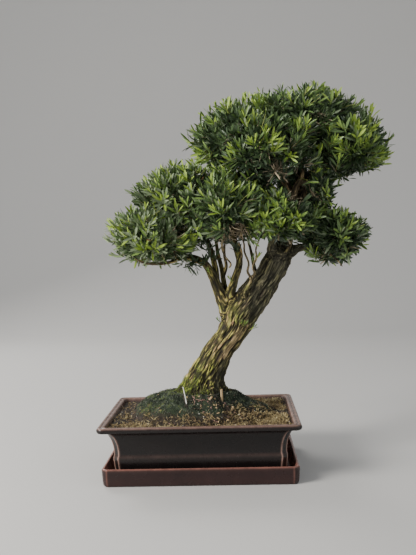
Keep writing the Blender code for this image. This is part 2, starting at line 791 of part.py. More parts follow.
def make_core(name, limbs, chance):
    """The dense inside of a mass: a closed form that keeps a share of the mass's reach."""
    heart, halves, heights, _ = MASSES[name]
    heart = np.array(heart)
    rows = []
    for ring in range(1, CORE_RINGS):
        tilt = math.pi * ring / CORE_RINGS
        row = []
        for number in range(CORE_AROUND):
            turn = 2 * math.pi * (number + 0.5 * (ring % 2)) / CORE_AROUND
            direction = np.array(
                [
                    math.sin(tilt) * math.cos(turn) * halves[0],
                    math.sin(tilt) * math.sin(turn) * halves[1],
                    math.cos(tilt) * (heights[0] if math.cos(tilt) > 0 else heights[1]),
                ]
            )
            row.append(direction / np.linalg.norm(direction))
        rows.append(row)

    def core_reach(way):
        space = reach(name, way, limbs, CORE_LIMB_CLEARANCE) - CORE_INSET
        surface = space
        while outwardness(heart + way * surface) < 1:
            surface += REACH_STEP
        return min(surface * CORE_SHARE, space)

    points = []
    for row in rows:
        for way in row:
            points.append(heart + way * core_reach(way) * (1 - CORE_UNEVEN * chance.random()))
    faces = []
    for ring in range(len(rows) - 1):
        for number in range(CORE_AROUND):
            after = (number + 1) % CORE_AROUND
            above = ring * CORE_AROUND
            below = above + CORE_AROUND
            if ring % 2 == 0:
                faces.append((above + number, below + number, above + after))
                faces.append((above + after, below + number, below + after))
            else:
                faces.append((above + number, below + number, below + after))
                faces.append((above + number, below + after, above + after))
    for up, way in ((0, np.array([0, 0, 1.0])), (len(rows) - 1, np.array([0, 0, -1.0]))):
        pole = len(points)
        points.append(heart + way * core_reach(way))
        for number in range(CORE_AROUND):
            here = up * CORE_AROUND + number
            there = up * CORE_AROUND + (number + 1) % CORE_AROUND
            faces.append((pole, here, there) if way[2] > 0 else (pole, there, here))
    return add_object(name, points, faces, "foliage")


def rod(start, end, start_radius, end_radius, sides=3):
    """A straight tapered twig with flat ends."""
    way = end - start
    way = way / np.linalg.norm(way)
    side = np.cross(way, (0.3, 0.9, 0.2))
    side /= np.linalg.norm(side)
    across = np.cross(way, side)
    rings = []
    for centre, radius in ((start, start_radius), (end, end_radius)):
        ring = []
        for number in range(sides):
            angle = 2 * math.pi * number / sides
            ring.append(centre + radius * (math.cos(angle) * side + math.sin(angle) * across))
        rings.append(ring)
    return add_object("twig", *loft(rings), "foliage")


def leaf_points(root, way, flat, length):
    """Root, tip, left, right, upper and lower point of a leaf."""
    across = np.cross(way, flat)
    across /= np.linalg.norm(across)
    face = np.cross(across, way)
    size = length / LEAF_LENGTH
    middle = root + way * length * LEAF_WIDEST
    return (
        root - way * LEAF_SINK,
        root + way * length,
        middle + across * LEAF_WIDTH / 2 * size,
        middle - across * LEAF_WIDTH / 2 * size,
        middle + face * LEAF_THICKNESS / 2,
        middle - face * LEAF_THICKNESS / 2,
    )


LEAF_FACES = (
    (0, 3, 4),
    (0, 4, 2),
    (0, 2, 5),
    (0, 5, 3),
    (1, 4, 3),
    (1, 2, 4),
    (1, 5, 2),
    (1, 3, 5),
)


def fits(name, points, limbs):
    """True if points, and the places half way between them, are in the mass's space and clear."""
    places = list(points)
    for i, a in enumerate(points):
        for b in points[i + 1 :]:
            places.append((a + b) / 2)
    return all(belongs(name, place) and limbs.clear(place, TWIG_CLEARANCE) for place in places)


def add_leaf(name, root, way, flat, limbs, parts):
    """A leaf of full length, or a shorter one where only that fits."""
    for share in LEAF_SHARES:
        points = leaf_points(root, way, flat, LEAF_LENGTH * share)
        if fits(name, points[1:], limbs):
            parts.append(add_object("leaf", points, LEAF_FACES, "foliage"))
            return


def grow_shoot(name, direction, limbs, chance, parts):
    """A twig out of the core with two opposite pairs of leaves, the second turned a quarter."""
    heart = np.array(MASSES[name][0])
    span = reach(name, direction, limbs, TWIG_CLEARANCE)
    if outwardness(heart + direction * span) < OUTER_GAUGE:
        return
    start = heart + direction * span * SHOOT_ROOT
    tip = heart + direction * (span - LEAF_LENGTH * TWIG_END_SHARE)
    if (tip - start).dot(direction) < SHORTEST_TWIG:
        return
    parts.append(rod(start, tip + direction * TWIG_OVERLAP, TWIG_BASE, TWIG_TIP))
    side = np.cross(direction, (0.0, 0.0, 1.0))
    if np.linalg.norm(side) < 0.2:
        side = np.cross(direction, (0.0, 1.0, 0.0))
    side /= np.linalg.norm(side)
    up = np.cross(side, direction)
    spin = chance.uniform(0, math.pi)
    for pair in range(2):
        splay = LEAF_SPLAYS[pair]
        for half in range(2):
            root = tip - direction * (PAIR_SPACING * pair + LEAF_STAGGER * half)
            turn = spin + math.pi * half + math.pi / 2 * pair
            out = math.cos(turn) * side + math.sin(turn) * up
            way = direction * math.cos(splay) + out * math.sin(splay)
            way = way + np.array([0, 0, LEAF_RISE]) * chance.uniform(0.4, 1.0)
            way /= np.linalg.norm(way)
            flat = direction - way * direction.dot(way) + 0.05 * up
            add_leaf(name, root, way, flat, limbs, parts)


def spiral_direction(number, count, halves, heights, turn):
    """One of count directions spread evenly over an oval form."""
    z = 1 - 2 * (number + 0.5) / count
    flat = math.sqrt(1 - z * z)
    angle = number * GOLDEN_TURN + turn
    height = heights[0] if z > 0 else heights[1]
    way = np.array([flat * math.cos(angle) * halves[0], flat * math.sin(angle) * halves[1], z * height])
    return way / np.linalg.norm(way)


def grow_mass(name, line, stem_start, limbs, seed):
    """One leaf mass: the stem from its bough, a core, and shoots with leaves, joined to one solid."""
    heart, halves, heights, tips = MASSES[name]
    chance = random.Random(seed)
    core = make_core(name, limbs, chance)
    parts = []
    rings = limb_rings(line, stem_start, line.length, STEM_SIDES, bough_shape)
    parts.append(add_object("stem", *loft(rings), "foliage"))
    mean = (halves[0] + halves[1] + (heights[0] + heights[1]) / 2) / 3
    count = round(4 * math.pi * mean * mean / SHOOT_AREA)
    for way in tips:
        direction = np.array(way, float)
        grow_shoot(name, direction / np.linalg.norm(direction), limbs, chance, parts)
    turn = chance.uniform(0, 2 * math.pi)
    for number in range(count):
        direction = spiral_direction(number, count, halves, heights, turn)
        direction = direction + np.array([chance.uniform(-SHOOT_SCATTER, SHOOT_SCATTER) for _ in range(3)])
        grow_shoot(name, direction / np.linalg.norm(direction), limbs, chance, parts)
    combine(core, parts)


def collar_length(line, near):
    """The distance along a bough at which it has left the limbs near it."""
    for distance in np.arange(0, line.length, 0.0005):
        centre, radius, _, _ = line.at(distance)
        if min(other.surface_gap(centre) for other in near) > radius * LIMB_BULGE + COLLAR_CLEARANCE:
            return float(distance)
    return line.length


def build_tree():
    """The trunk, leader and boughs, each ending 0.3 mm short of the next, and the leaf masses."""
    axis = Line(AXIS, AXIS_STEP)
    lines = {name: Line(stations, BOUGH_STEP) for name, (_, _, stations) in BOUGHS.items()}
    fork = axis.distance_where(lambda point: point[2] >= LEADER_Z)
    top = axis.distance_where(lambda point: gauge("mass_top_mid", point) <= TIP_INSET)
    limbs = Limbs()
    limbs.add(axis, 0, top)
    spans = {}
    for name, (parent, mass, _) in BOUGHS.items():
        line = lines[name]
        tip = line.distance_where(lambda point: gauge(mass, point) <= TIP_INSET)
        near = [lines[parent] if parent in lines else axis]
        near += [lines[other] for other in BOUGHS if other != name and BOUGHS[other][0] == parent]
        collar = collar_length(line, near)
        spans[name] = (collar, max(tip, collar + SHORTEST_BOUGH))
        limbs.add(line, 0, spans[name][1])
    limbs.settle()

    trunk = add_object("trunk", *loft(axis_rings(axis, 0, fork, AXIS_SIDES)), "bark")
    leader = add_object("leader", *loft(axis_rings(axis, fork + GAP, top, LEADER_SIDES)), "bark")
    nodes = {"trunk": trunk, "leader": leader}
    for name in BOUGHS:
        collar, tip = spans[name]
        rings = limb_rings(lines[name], collar + GAP, tip, BOUGH_SIDES, bough_shape)
        nodes[name] = add_object(name, *loft(rings), "bark")
    for carrier in nodes:
        collars = []
        for name, (parent, _, _) in BOUGHS.items():
            if parent == carrier:
                rings = limb_rings(lines[name], 0, spans[name][0], BOUGH_SIDES, bough_shape)
                collars.append(add_object("collar", *loft(rings), "bark"))
        if collars:
            combine(nodes[carrier], collars)
    for item in nodes.values():
        smooth(item, 50)

    grow_mass("mass_top_mid", axis, top + GAP, limbs, SEED)
    for number, (name, (_, mass, _)) in enumerate(BOUGHS.items()):
        grow_mass(mass, lines[name], spans[name][1] + GAP, limbs, SEED + 1 + number)


clear_scene()
make_tray()
make_pot()
make_soil()
make_mound()
build_tree()
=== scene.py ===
"""The looks of the boxwood bonsai: bark, twigs, leaves, moss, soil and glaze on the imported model."""

import math

import bpy
import numpy as np
from mathutils import Matrix, Vector


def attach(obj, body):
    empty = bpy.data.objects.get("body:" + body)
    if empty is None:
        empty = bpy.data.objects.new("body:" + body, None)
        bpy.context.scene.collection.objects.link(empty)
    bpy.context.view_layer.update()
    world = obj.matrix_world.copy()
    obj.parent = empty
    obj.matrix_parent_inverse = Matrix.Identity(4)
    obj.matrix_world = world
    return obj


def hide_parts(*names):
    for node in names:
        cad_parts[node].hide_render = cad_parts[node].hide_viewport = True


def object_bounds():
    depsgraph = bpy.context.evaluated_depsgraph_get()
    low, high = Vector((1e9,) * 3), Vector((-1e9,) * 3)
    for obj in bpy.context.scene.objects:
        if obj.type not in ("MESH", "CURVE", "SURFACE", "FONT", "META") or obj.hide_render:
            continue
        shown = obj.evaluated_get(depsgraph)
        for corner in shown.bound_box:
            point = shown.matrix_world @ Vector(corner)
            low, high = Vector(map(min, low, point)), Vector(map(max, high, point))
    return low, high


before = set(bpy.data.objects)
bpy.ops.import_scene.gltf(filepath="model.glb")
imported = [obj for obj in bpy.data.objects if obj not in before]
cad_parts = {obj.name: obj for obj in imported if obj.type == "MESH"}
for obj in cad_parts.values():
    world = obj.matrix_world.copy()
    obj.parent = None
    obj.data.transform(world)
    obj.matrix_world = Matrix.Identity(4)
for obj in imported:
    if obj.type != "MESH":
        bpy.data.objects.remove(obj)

cad_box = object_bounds()

# Sizes in metres, as in the model's source
GAP = 0.0003
TRAY_HALF_X = 0.146
TRAY_HALF_Y = 0.102
TRAY_HEIGHT = 0.0265
TRAY_FLOOR = 0.008
TRAY_WALL = 0.0055
TRAY_LEAN = 0.0015
TRAY_INNER_LEAN = 0.0035
TRAY_CORNER = 0.009
TRAY_ROUND = 0.0025
POT_HALF_X = 0.150
POT_HALF_Y = 0.110
POT_TOP = 0.0890
POT_CORNER = 0.010
RIM_HEIGHT = 0.0085
RIM_BAND = 0.011
RIM_GROOVE = 0.0006
BODY_INSET = 0.0105
WAIST_INSET = 0.0222
WAIST_Z = 0.0450
COVE_DEPTH = 0.92  # how much of a quarter circle the hollow of the wall is
SKIRT_INSET = 0.0210
SKIRT_Z = 0.0415
SKIRT_FOOT_INSET = 0.0242
POT_WALL = 0.0095
POT_FLOOR = 0.009
FOOT_RECESS = 0.004
FOOT_WIDTH = 0.008
DRAIN_RADIUS = 0.009
DRAIN_X = 0.060
INNER_CORNER = 0.0075
SOIL_Z = 0.0820
GROUND_Z = 0.1190
MOUND_HALF_X = 0.118
MOUND_HALF_Y = 0.086
MOUND_EDGE = 0.0015
MOUND_SEAT = 1.06  # of the trunk's radius
MOUND_MARGIN = 0.003  # from the seat and the root flare to where the mound starts to fall
MOUND_WAVES = (0.03, 0.02)  # how far the outline swings in three and in seven waves, as a share
MOUND_BULGE = 0.75  # how much fuller the slope is on the left
MOUND_FALL = (1.3, 0.9)  # how hollow the slope is on the right and on the left
MOUND_LUMPS = 0.0034
LUMP_WAVE = 137.0  # radians a metre
LUMP_SWAY = (1.6, 90.0)  # how far the rows of lumps swing, and radians a metre of that
LUMP_TURN = 0.9
LUMP_FADE = 6.4  # how steeply the lumps rise from the mound's edges

TENTHS = 10000  # tenths of a millimetre in a metre, for the limbs' rows of x, y, z and radius

# Trunk and leader, one line from the ground to the tip
AXIS = (
    (10, 0, 1190, 308), (50, 0, 1335, 280), (145, 0, 1555, 244), (300, 0, 1830, 216),
    (440, 0, 2015, 208), (570, 0, 2205, 228), (670, 10, 2410, 266), (820, 10, 2610, 256),
    (970, 10, 2810, 230), (1105, 10, 2975, 202), (1215, 0, 3165, 210), (1305, 0, 3330, 182),
    (1380, 10, 3490, 124), (1460, 20, 3780, 98), (1575, 40, 4170, 82), (1640, 60, 4520, 66),
    (1660, 80, 4810, 52), (1675, 100, 5330, 40),
)
AXIS_SETTLE = 0.030  # height over which the trunk's rings turn from level to square
FLUTES = 7
FLUTE_DEPTH = 0.055
FLUTE_TWIST = 5.0

# Root flare: direction in degrees, and how far the root stands out at the ground
ROOTS = ((184, 0.017), (232, 0.011), (292, 0.013), (352, 0.020), (52, 0.012), (118, 0.011))
ROOT_WIDTH = math.radians(17)
ROOT_FADE = 0.0125

# Boughs: the mass that each joins, and its line from inside its limb to the mass's heart
BOUGHS = {
    "bough_left_low": ("mass_left_low", (
        (500, 0, 2350, 145), (425, -10, 2560, 125), (340, -25, 2770, 94), (248, -40, 2995, 72),
        (125, -70, 3220, 58), (-50, -100, 3320, 48), (-340, -150, 3370, 40), (-800, -200, 3620, 26),
    )),
    "bough_left_high": ("mass_left_high", (
        (290, -30, 2895, 58), (280, 50, 3135, 50), (205, 90, 3470, 43), (60, 90, 3785, 36),
        (-290, 80, 4300, 25),
    )),
    "bough_middle": ("mass_centre", (
        (590, -40, 2480, 92), (520, -90, 2730, 78), (575, -110, 2930, 62), (665, -120, 3230, 54),
        (610, -160, 3500, 46), (560, -280, 3970, 26),
    )),
    "bough_front": ("mass_front_low", (
        (1250, 0, 3220, 120), (1185, -120, 3400, 90), (1175, -270, 3535, 58), (1230, -430, 3670, 42),
        (1300, -610, 3850, 26),
    )),
    "bough_right": ("mass_right_low", (
        (1290, 0, 3190, 138), (1440, -20, 3350, 100), (1625, -30, 3430, 62), (1840, -20, 3450, 45),
        (2215, 0, 3570, 27),
    )),
    "bough_back_left": ("mass_back_left", (
        (1465, 20, 3730, 60), (1350, 180, 3885, 46), (1210, 340, 3985, 38), (865, 690, 4210, 25),
    )),
    "bough_back_right": ("mass_back_right", (
        (1495, 30, 3820, 58), (1570, 200, 3905, 45), (1600, 340, 3975, 37), (1640, 650, 4150, 25),
    )),
    "bough_right_mid": ("mass_right_mid", (
        (1540, 30, 3995, 54), (1640, -30, 4140, 42), (1740, -60, 4230, 35), (1860, -90, 4340, 25),
    )),
    "bough_top_front": ("mass_top_front", (
        (1555, 30, 4090, 56), (1490, -180, 4270, 44), (1380, -375, 4460, 36), (1200, -690, 4790, 25),
    )),
    "bough_top_left": ("mass_top_left", (
        (1590, 40, 4230, 60), (1400, 0, 4470, 48), (1160, -30, 4670, 40), (700, -50, 5080, 26),
    )),
    "bough_top_right": ("mass_top_right", (
        (1620, 50, 4355, 58), (1780, 40, 4560, 46), (1950, 20, 4710, 38), (2240, 0, 4930, 26),
    )),
}

# Bare side branches that the solids lack
SIDE_BRANCHES = (
    (
        (760, -120, 2560, 50), (740, -220, 2750, 32), (835, -240, 2950, 24), (785, -270, 3085, 20),
        (805, -280, 3215, 18), (745, -310, 3390, 17), (740, -340, 3520, 16), (680, -400, 3710, 15),
    ),
    (
        (830, -220, 2920, 22), (890, -240, 3050, 19), (870, -260, 3155, 18), (930, -290, 3300, 17),
        (920, -320, 3420, 16), (985, -360, 3600, 15),
    ),
    (
        (580, -240, 3850, 26), (440, -280, 3640, 19), (403, -280, 3475, 17), (445, -260, 3330, 16),
        (534, -240, 3208, 16), (485, -220, 3132, 14),
    ),
    (
        (1180, -120, 3330, 62), (1290, -180, 3330, 34), (1395, -210, 3370, 28), (1475, -240, 3540, 19),
        (1500, -300, 3740, 13),
    ),
    ((180, -60, 3160, 40), (60, -180, 3230, 24), (-120, -300, 3300, 15)),
    (
        (-180, -120, 3350, 34), (-358, -260, 3275, 30), (-592, -320, 3245, 26), (-832, -360, 3280, 19),
        (-1000, -400, 3400, 12),
    ),
    ((1690, -30, 3440, 32), (1906, -160, 3390, 21), (2122, -280, 3260, 16), (2240, -300, 3110, 10)),
    ((640, -120, 3120, 34), (700, -220, 3330, 23), (660, -300, 3560, 14)),
    (
        (1520, -20, 3920, 56), (1490, -200, 4030, 54), (1510, -370, 4180, 52), (1550, -440, 4350, 44),
        (1640, -480, 4500, 34), (1640, -540, 4720, 18),
    ),
    (
        (1580, 20, 4080, 52), (1700, -180, 4120, 44), (1670, -340, 4240, 38), (1740, -440, 4400, 30),
        (1820, -500, 4580, 16),
    ),
    ((1600, 0, 4300, 50), (1480, -220, 4330, 40), (1380, -400, 4520, 22)),
    ((1230, 100, 3120, 60), (1270, 260, 3380, 36), (1210, 400, 3650, 20)),
    ((960, 140, 2850, 50), (900, 280, 3150, 30), (850, 380, 3440, 24), (760, 460, 3820, 18)),
    (
        (480, 60, 2600, 60), (425, 100, 2800, 46), (395, 120, 2990, 40), (370, 120, 3180, 36),
        (325, 130, 3370, 32), (300, 140, 3620, 26),
    ),
    ((395, 120, 3000, 36), (455, 80, 3170, 27), (430, 40, 3370, 23), (450, -40, 3640, 18)),
)

# Leaf masses in millimetres: heart, half width in X and Y, height above and below the heart
MASSES = {
    "mass_left_low": ((-62, -20, 368), (77, 92), (52, 49)),
    "mass_left_high": ((-18, 8, 426), (86, 100), (57, 53)),
    "mass_centre": ((56, -32, 401), (69, 100), (74, 58)),
    "mass_front_low": ((130, -62, 387), (60, 58), (58, 44)),
    "mass_right_low": ((214, 0, 363), (60, 88), (39, 57)),
    "mass_right_mid": ((178, -10, 438), (39, 80), (47, 42)),
    "mass_top_left": ((78, -5, 512), (86, 106), (60, 64)),
    "mass_top_front": ((116, -66, 484), (78, 60), (70, 64)),
    "mass_top_mid": ((168, 12, 534), (97, 122), (59, 70)),
    "mass_top_right": ((224, 0, 492), (80, 104), (64, 44)),
    "mass_back_left": ((80, 64, 423), (86, 60), (74, 60)),
    "mass_back_right": ((164, 60, 418), (66, 64), (72, 58)),
}
BLEND = 6.0  # how sharp the creases between masses are
LUMPS = 0.08  # swells and hollows of the crown, as a share of a mass's half size
OUTER_GAUGE = 0.74  # a shoot grows where its mass's space ends this near to the crown's form (1)
SHOULDER_TRIM = 0.15  # how much the crown's front and back are rounded off at the top
SHOULDER_PLACE = (0.125, 0.44, 0.14)  # distance to the front or back, height where it starts, and its span
GOLDEN_TURN = math.pi * (3 - math.sqrt(5))

# Twigs and leaves
BRANCHES = 18
BRANCH_SHARE = 0.66  # of the reach
LOW_BRANCH_SHARE = 0.88  # of the reach, for branches that show under a pad
BRANCH_RADIUS = (0.0022, 0.0010)
BRANCH_KINKS = 0.0011
TWIG_RADIUS = (0.0009, 0.0005)
TWIG_KINKS = 0.0007
SHORTEST_TWIG = 0.006
TAN_SHARE = 0.55  # of the twigs, the rest are brown
SHOOT_AREA = 0.000115  # surface of a mass for each outer shoot
INNER_AREA = 0.00036
INNER_DEPTH = 0.78  # of the reach
UNDER_SHARE = 0.45  # of the shoots that point down
TIP_ROOM = 0.60  # of a leaf's length, between a twig's end and the surface
LIMB_CLEARANCE = 0.0010
CROWN_EDGE = 1.11  # how far leaves may stand out of the crown's form, as a share of a mass's half size
OUT_OF_BOX = 0.0110  # how far leaves may stand out of the box round the solids
SEAM_OVERLAP = 0.10  # how far leaves reach into the next mass's space, as a share of its half size
LEAF_LENGTH = 0.0210
LEAF_WIDTH = 0.0038
LEAF_SLIMNESS = 0.6  # how the width follows the length: 1 in step, 0 not at all
LEAF_FOLD = 0.16  # how far the edges stand above the midrib, as a share of the width
LEAF_CURL = (-0.04, 0.20)
TIP_LIFT = 0.42  # how much the ends of shoots turn up
LEAF_LIFT = (0.05, 0.38)
PAIR_SPACING = (0.8, 1.7)
LEAF_PAIRS = (  # distance from the tip, share of the length, splay in degrees
    (0.0000, 0.62, 14),
    (0.0032, 0.88, 26),
    (0.0074, 1.00, 38),
    (0.0125, 1.00, 50),
    (0.0180, 0.92, 60),
)
WIDE_LEAF = ((0.24, 0.50), (0.58, 1.0), (0.86, 0.66))  # share of the length, share of the width
PLAIN_LEAF = ((0.34, 0.74), (0.74, 0.94))
LAYERS = (  # outer and inner shoots: surface for each, share of the reach, leaf pairs and leaf form
    (SHOOT_AREA, 1.0, LEAF_PAIRS, WIDE_LEAF),
    (INNER_AREA, INNER_DEPTH, LEAF_PAIRS[1:4], PLAIN_LEAF),
)
YOUNG_SHARE = 0.10  # of the outer shoots carry bright new leaves
YOUNG_STRETCH = (0.001, 0.010)  # how far those stand out of the rest
# Where new leaves stand close together on the viewer's side: x, z and radius in millimetres
YOUNG_TUFTS = np.array((
    (125, 488, 17), (108, 383, 22), (150, 381, 16), (122, 412, 13), (213, 481, 12), (197, 404, 10),
    (236, 386, 16), (-10, 362, 11), (97, 560, 13), (161, 508, 11), (281, 468, 14), (52, 566, 12),
    (12, 478, 11), (-116, 384, 13),
)) / 1000
# The same for where bare wood shows through
THIN_PLACES = np.array((
    (157, 426, 20), (164, 447, 14), (123, 458, 10), (68, 366, 20), (-16, 375, 11),
)) / 1000
# Pale grey-green leaves paint the sheen of glossy leaves. There are more of them on the left, where painted
# light also brightens the leaves.
SHEEN_SHARE = (0.07, 0.45)  # of the leaves, and how much more on the left
LIT_LEFT_SIDE = (0.04, 0.10)  # where the left starts in X, and the span until it is whole
DRY_SHARE = 0.0012

# Starts of the random draws
SEED = 41
SPROUT_SEED = 3
GROUND_SEED = 7


# Numbers and smooth noise

def unit(values):
    return np.clip(values, 0, 1)


def slope(values, start, span):
    """0 up to the start, 1 from one span after it, and even between them."""
    return unit((values - start) / span)


def bell(away, width):
    """1 in the middle, and less and less away from it."""
    return np.exp(-((away / width) ** 2))


def drawn(share, count, chance):
    """True at random for that share of so many."""
    return chance.uniform(0, 1, count) < share


def hashed(cells, seed):
    """A repeatable value from 0 to 1 for each whole-numbered cell."""
    cells = cells.astype(np.int64)
    mixed = cells[:, 0] * 374761393 + cells[:, 1] * 668265263 + cells[:, 2] * 2147483647 + seed * 1274126177
    mixed = (mixed ^ (mixed >> 13)) * 1103515245
    mixed = (mixed ^ (mixed >> 16)) & 0xFFFFFF
    return mixed / float(0xFFFFFF)


def noise(points, size, seed=0):
    """Smooth noise from -1 to 1 with bumps of that size."""
    places = np.asarray(points) / size
    low = np.floor(places)
    share = places - low
    share = share * share * (3 - 2 * share)
    total = np.zeros(len(places))
    for corner in range(8):
        step = np.array([corner & 1, corner >> 1 & 1, corner >> 2 & 1])
        weight = np.prod(np.where(step == 1, share, 1 - share), axis=1)
        total += weight * hashed(low + step, seed)
    return total * 2 - 1


def normalised(vectors):
    return vectors / np.maximum(np.linalg.norm(vectors, axis=-1, keepdims=True), 1e-9)


# Materials

def new_material(name, roughness=0.5):
    made = bpy.data.materials.new(name)
    made.use_nodes = True
    shader = made.node_tree.nodes["Principled BSDF"]
    shader.inputs["Roughness"].default_value = roughness
    return made, made.node_tree, shader


def plain(name, colour, roughness=0.5):
    made, _, shader = new_material(name, roughness)
    shader.inputs["Base Color"].default_value = (*colour, 1)
    return made


def plains(table):
    """Plain materials from rows of name, colour in thousandths and roughness."""
    return [plain(name, np.array(colour) / 1000, roughness) for name, colour, roughness in table]


def add_node(tree, kind, inputs=(), **values):
    """A node with sockets linked to outputs or set to values. A tuple is a colour."""
    node = tree.nodes.new(kind)
    for name, value in values.items():
        setattr(node, name, value)
    for socket, value in inputs:
        if hasattr(value, "is_output"):
            tree.links.new(value, node.inputs[socket])
        else:
            node.inputs[socket].default_value = (*value, 1) if isinstance(value, tuple) else value
    return node


def noise_texture(tree, scale, detail=4.0, roughness=0.55, place=None):
    place = place or add_node(tree, "ShaderNodeTexCoord").outputs["Object"]
    inputs = [("Vector", place), ("Scale", scale), ("Detail", detail), ("Roughness", roughness)]
    return add_node(tree, "ShaderNodeTexNoise", inputs).outputs["Fac"]


def greys(*stops):
    return [(place, (value,) * 3) for place, value in stops]


def ramp(tree, factor, stops):
    """Colours at places from 0 to 1."""
    node = add_node(tree, "ShaderNodeValToRGB", [("Fac", factor)])
    points = node.color_ramp.elements
    while len(points) < len(stops):
        points.new(0.5)
    for point, (place, colour) in zip(points, stops):
        point.position = place
        point.color = (*colour, 1)
    return node.outputs["Color"]


def mix(tree, factor, a, b, blend="MIX"):
    inputs = [(0, factor), (6, a), (7, b)]
    return add_node(tree, "ShaderNodeMix", inputs, data_type="RGBA", blend_type=blend).outputs[2]


def attribute(tree, name):
    return add_node(tree, "ShaderNodeAttribute", attribute_name=name).outputs["Fac"]


def bump(tree, shader, height, strength, distance):
    inputs = [("Height", height), ("Strength", strength), ("Distance", distance)]
    node = add_node(tree, "ShaderNodeBump", inputs)
    tree.links.new(node.outputs[0], shader.inputs["Normal"])


def glaze(name, body, dark, edge):
    """A glossy glaze, thinner and redder over edges, where the edge colour also paints highlights, with
    slight clouding and dimples.
    """
    made, tree, shader = new_material(name, 0.2)
    shader.inputs["Specular IOR Level"].default_value = 0.34
    clouds = ramp(tree, noise_texture(tree, 22, 5), [(0.32, dark), (0.68, body)])
    wear_and_highlight = ramp(tree, noise_texture(tree, 70, 4), [(0.30, tuple(0.55 * v for v in edge)), (0.65, edge)])
    tree.links.new(mix(tree, attribute(tree, "edge"), clouds, wear_and_highlight), shader.inputs["Base Color"])
    rough = ramp(tree, noise_texture(tree, 55, 4), greys((0.3, 0.16), (0.75, 0.36)))
    tree.links.new(rough, shader.inputs["Roughness"])
    bump(tree, shader, noise_texture(tree, 190, 4), 0.16, 0.0004)
    return made


def bark_material():
    """Yellow and tan ridges over dark furrows with painted shade in them and painted highlights on the
    crests, greyer up the trunk with painted shade there and on the right side, with smooth strips and moss.
    """
    made, tree, shader = new_material("bark", 0.9)
    grain = add_node(tree, "ShaderNodeAttribute", attribute_name="grain").outputs["Vector"]
    warm_stops = [(0.34, (0.17, 0.18, 0.05)), (0.47, (0.24, 0.22, 0.07)), (0.58, (0.28, 0.23, 0.10))]
    warm = ramp(tree, noise_texture(tree, 200, 4, 0.6, grain), warm_stops + [(0.68, (0.34, 0.21, 0.14))])
    grey_shade_stops = [(0.34, (0.075, 0.072, 0.046)), (0.66, (0.135, 0.122, 0.078))]
    grey_and_shade = ramp(tree, noise_texture(tree, 240, 4, 0.6, grain), grey_shade_stops)
    # Mixing in the grey tone paints the crown's shadow up the trunk and the shade on its right side.
    ridge = mix(tree, attribute(tree, "grey_and_shade"), warm, grey_and_shade)
    ridge = mix(tree, attribute(tree, "peeled"), ridge, (0.43, 0.33, 0.19))
    fibres = ramp(tree, noise_texture(tree, 760, 4, 0.65, grain), greys((0.38, 0.40), (0.64, 1.40)))
    ridge = mix(tree, 1.0, ridge, fibres, "MULTIPLY")
    # The relief ramp paints shade into the furrows and highlights onto the crests.
    shade_stops = [(0.15, (0.07, 0.06, 0.06)), (0.50, (0.20, 0.19, 0.16)), (0.75, (0.62, 0.60, 0.54))]
    shade = ramp(tree, attribute(tree, "relief"), shade_stops + [(0.97, (2.0, 1.9, 1.6))])
    soft_stops = greys((0.10, 0.22), (0.50, 0.50), (0.80, 0.85), (1.00, 1.40))
    # Where that painted shade lies, the furrows' painted shade is softer.
    shade = mix(tree, attribute(tree, "grey_and_shade"), shade, ramp(tree, attribute(tree, "relief"), soft_stops))
    body = mix(tree, 1.0, ridge, shade, "MULTIPLY")
    moss = ramp(tree, noise_texture(tree, 210, 3), [(0.35, (0.08, 0.12, 0.02)), (0.65, (0.32, 0.40, 0.05))])
    shaded_moss = mix(tree, 0.9, moss, shade, "MULTIPLY")
    tree.links.new(mix(tree, attribute(tree, "moss"), body, shaded_moss), shader.inputs["Base Color"])
    bump(tree, shader, noise_texture(tree, 760, 4, 0.65, grain), 0.8, 0.0009)
    return made


def ground_material():
    """Soil, and the dark base of the moss where the attribute says."""
    made, tree, shader = new_material("soil_and_moss", 0.95)
    soil_stops = [(0.35, (0.010, 0.008, 0.007)), (0.74, (0.070, 0.050, 0.030))]
    soil = ramp(tree, noise_texture(tree, 300, 5), soil_stops)
    moss_stops = [(0.3, (0.008, 0.014, 0.009)), (0.7, (0.045, 0.066, 0.030))]
    moss = ramp(tree, noise_texture(tree, 260, 4), moss_stops)
    tree.links.new(mix(tree, attribute(tree, "moss"), soil, moss), shader.inputs["Base Color"])
    bump(tree, shader, noise_texture(tree, 800, 4, 0.7), 0.9, 0.0009)
    return made


# Colours in thousandths, and roughness
COLOURS = {
    "twigs": (
        ("twig_tan", (520, 430, 290), 0.85),
        ("twig_brown", (340, 270, 180), 0.85),
        ("twig_green", (300, 340, 90), 0.60),
    ),
    "leaves": (
        ("leaf_deep", (40, 62, 34), 0.40),
        ("leaf_dark", (54, 89, 42), 0.38),
        ("leaf_mid", (80, 132, 51), 0.38),
        ("leaf_full", (110, 180, 56), 0.40),
        ("leaf_fresh", (165, 265, 54), 0.42),
        ("leaf_young", (290, 415, 58), 0.46),
        ("leaf_painted_sheen", (225, 285, 165), 0.45),
        ("leaf_dry", (380, 205, 95), 0.70),
    ),
    "husks": (
        ("husk_straw", (335, 255, 115), 0.75),
        ("husk_pale", (480, 400, 215), 0.75),
        ("husk_tan", (210, 145, 70), 0.80),
        ("husk_brown", (80, 52, 30), 0.85),
    ),
    "moss": (
        ("moss_dark", (12, 18, 12), 0.90),
        ("moss_mid", (44, 64, 37), 0.90),
        ("moss_grey", (175, 195, 145), 0.90),
        ("moss_bright", (180, 230, 70), 0.90),
        ("moss_lime", (340, 450, 60), 0.90),
    ),
    "bits": (
        ("bit_tan", (480, 350, 190), 0.90),
        ("bit_pink", (340, 200, 160), 0.90),
        ("bit_white", (700, 680, 620), 0.80),
        ("bit_dark", (50, 40, 32), 0.90),
    ),
}


# Meshes

def linked(name, data):
    """A new object in the scene."""
    made = bpy.data.objects.new(name, data)
    bpy.context.scene.collection.objects.link(made)
    return made


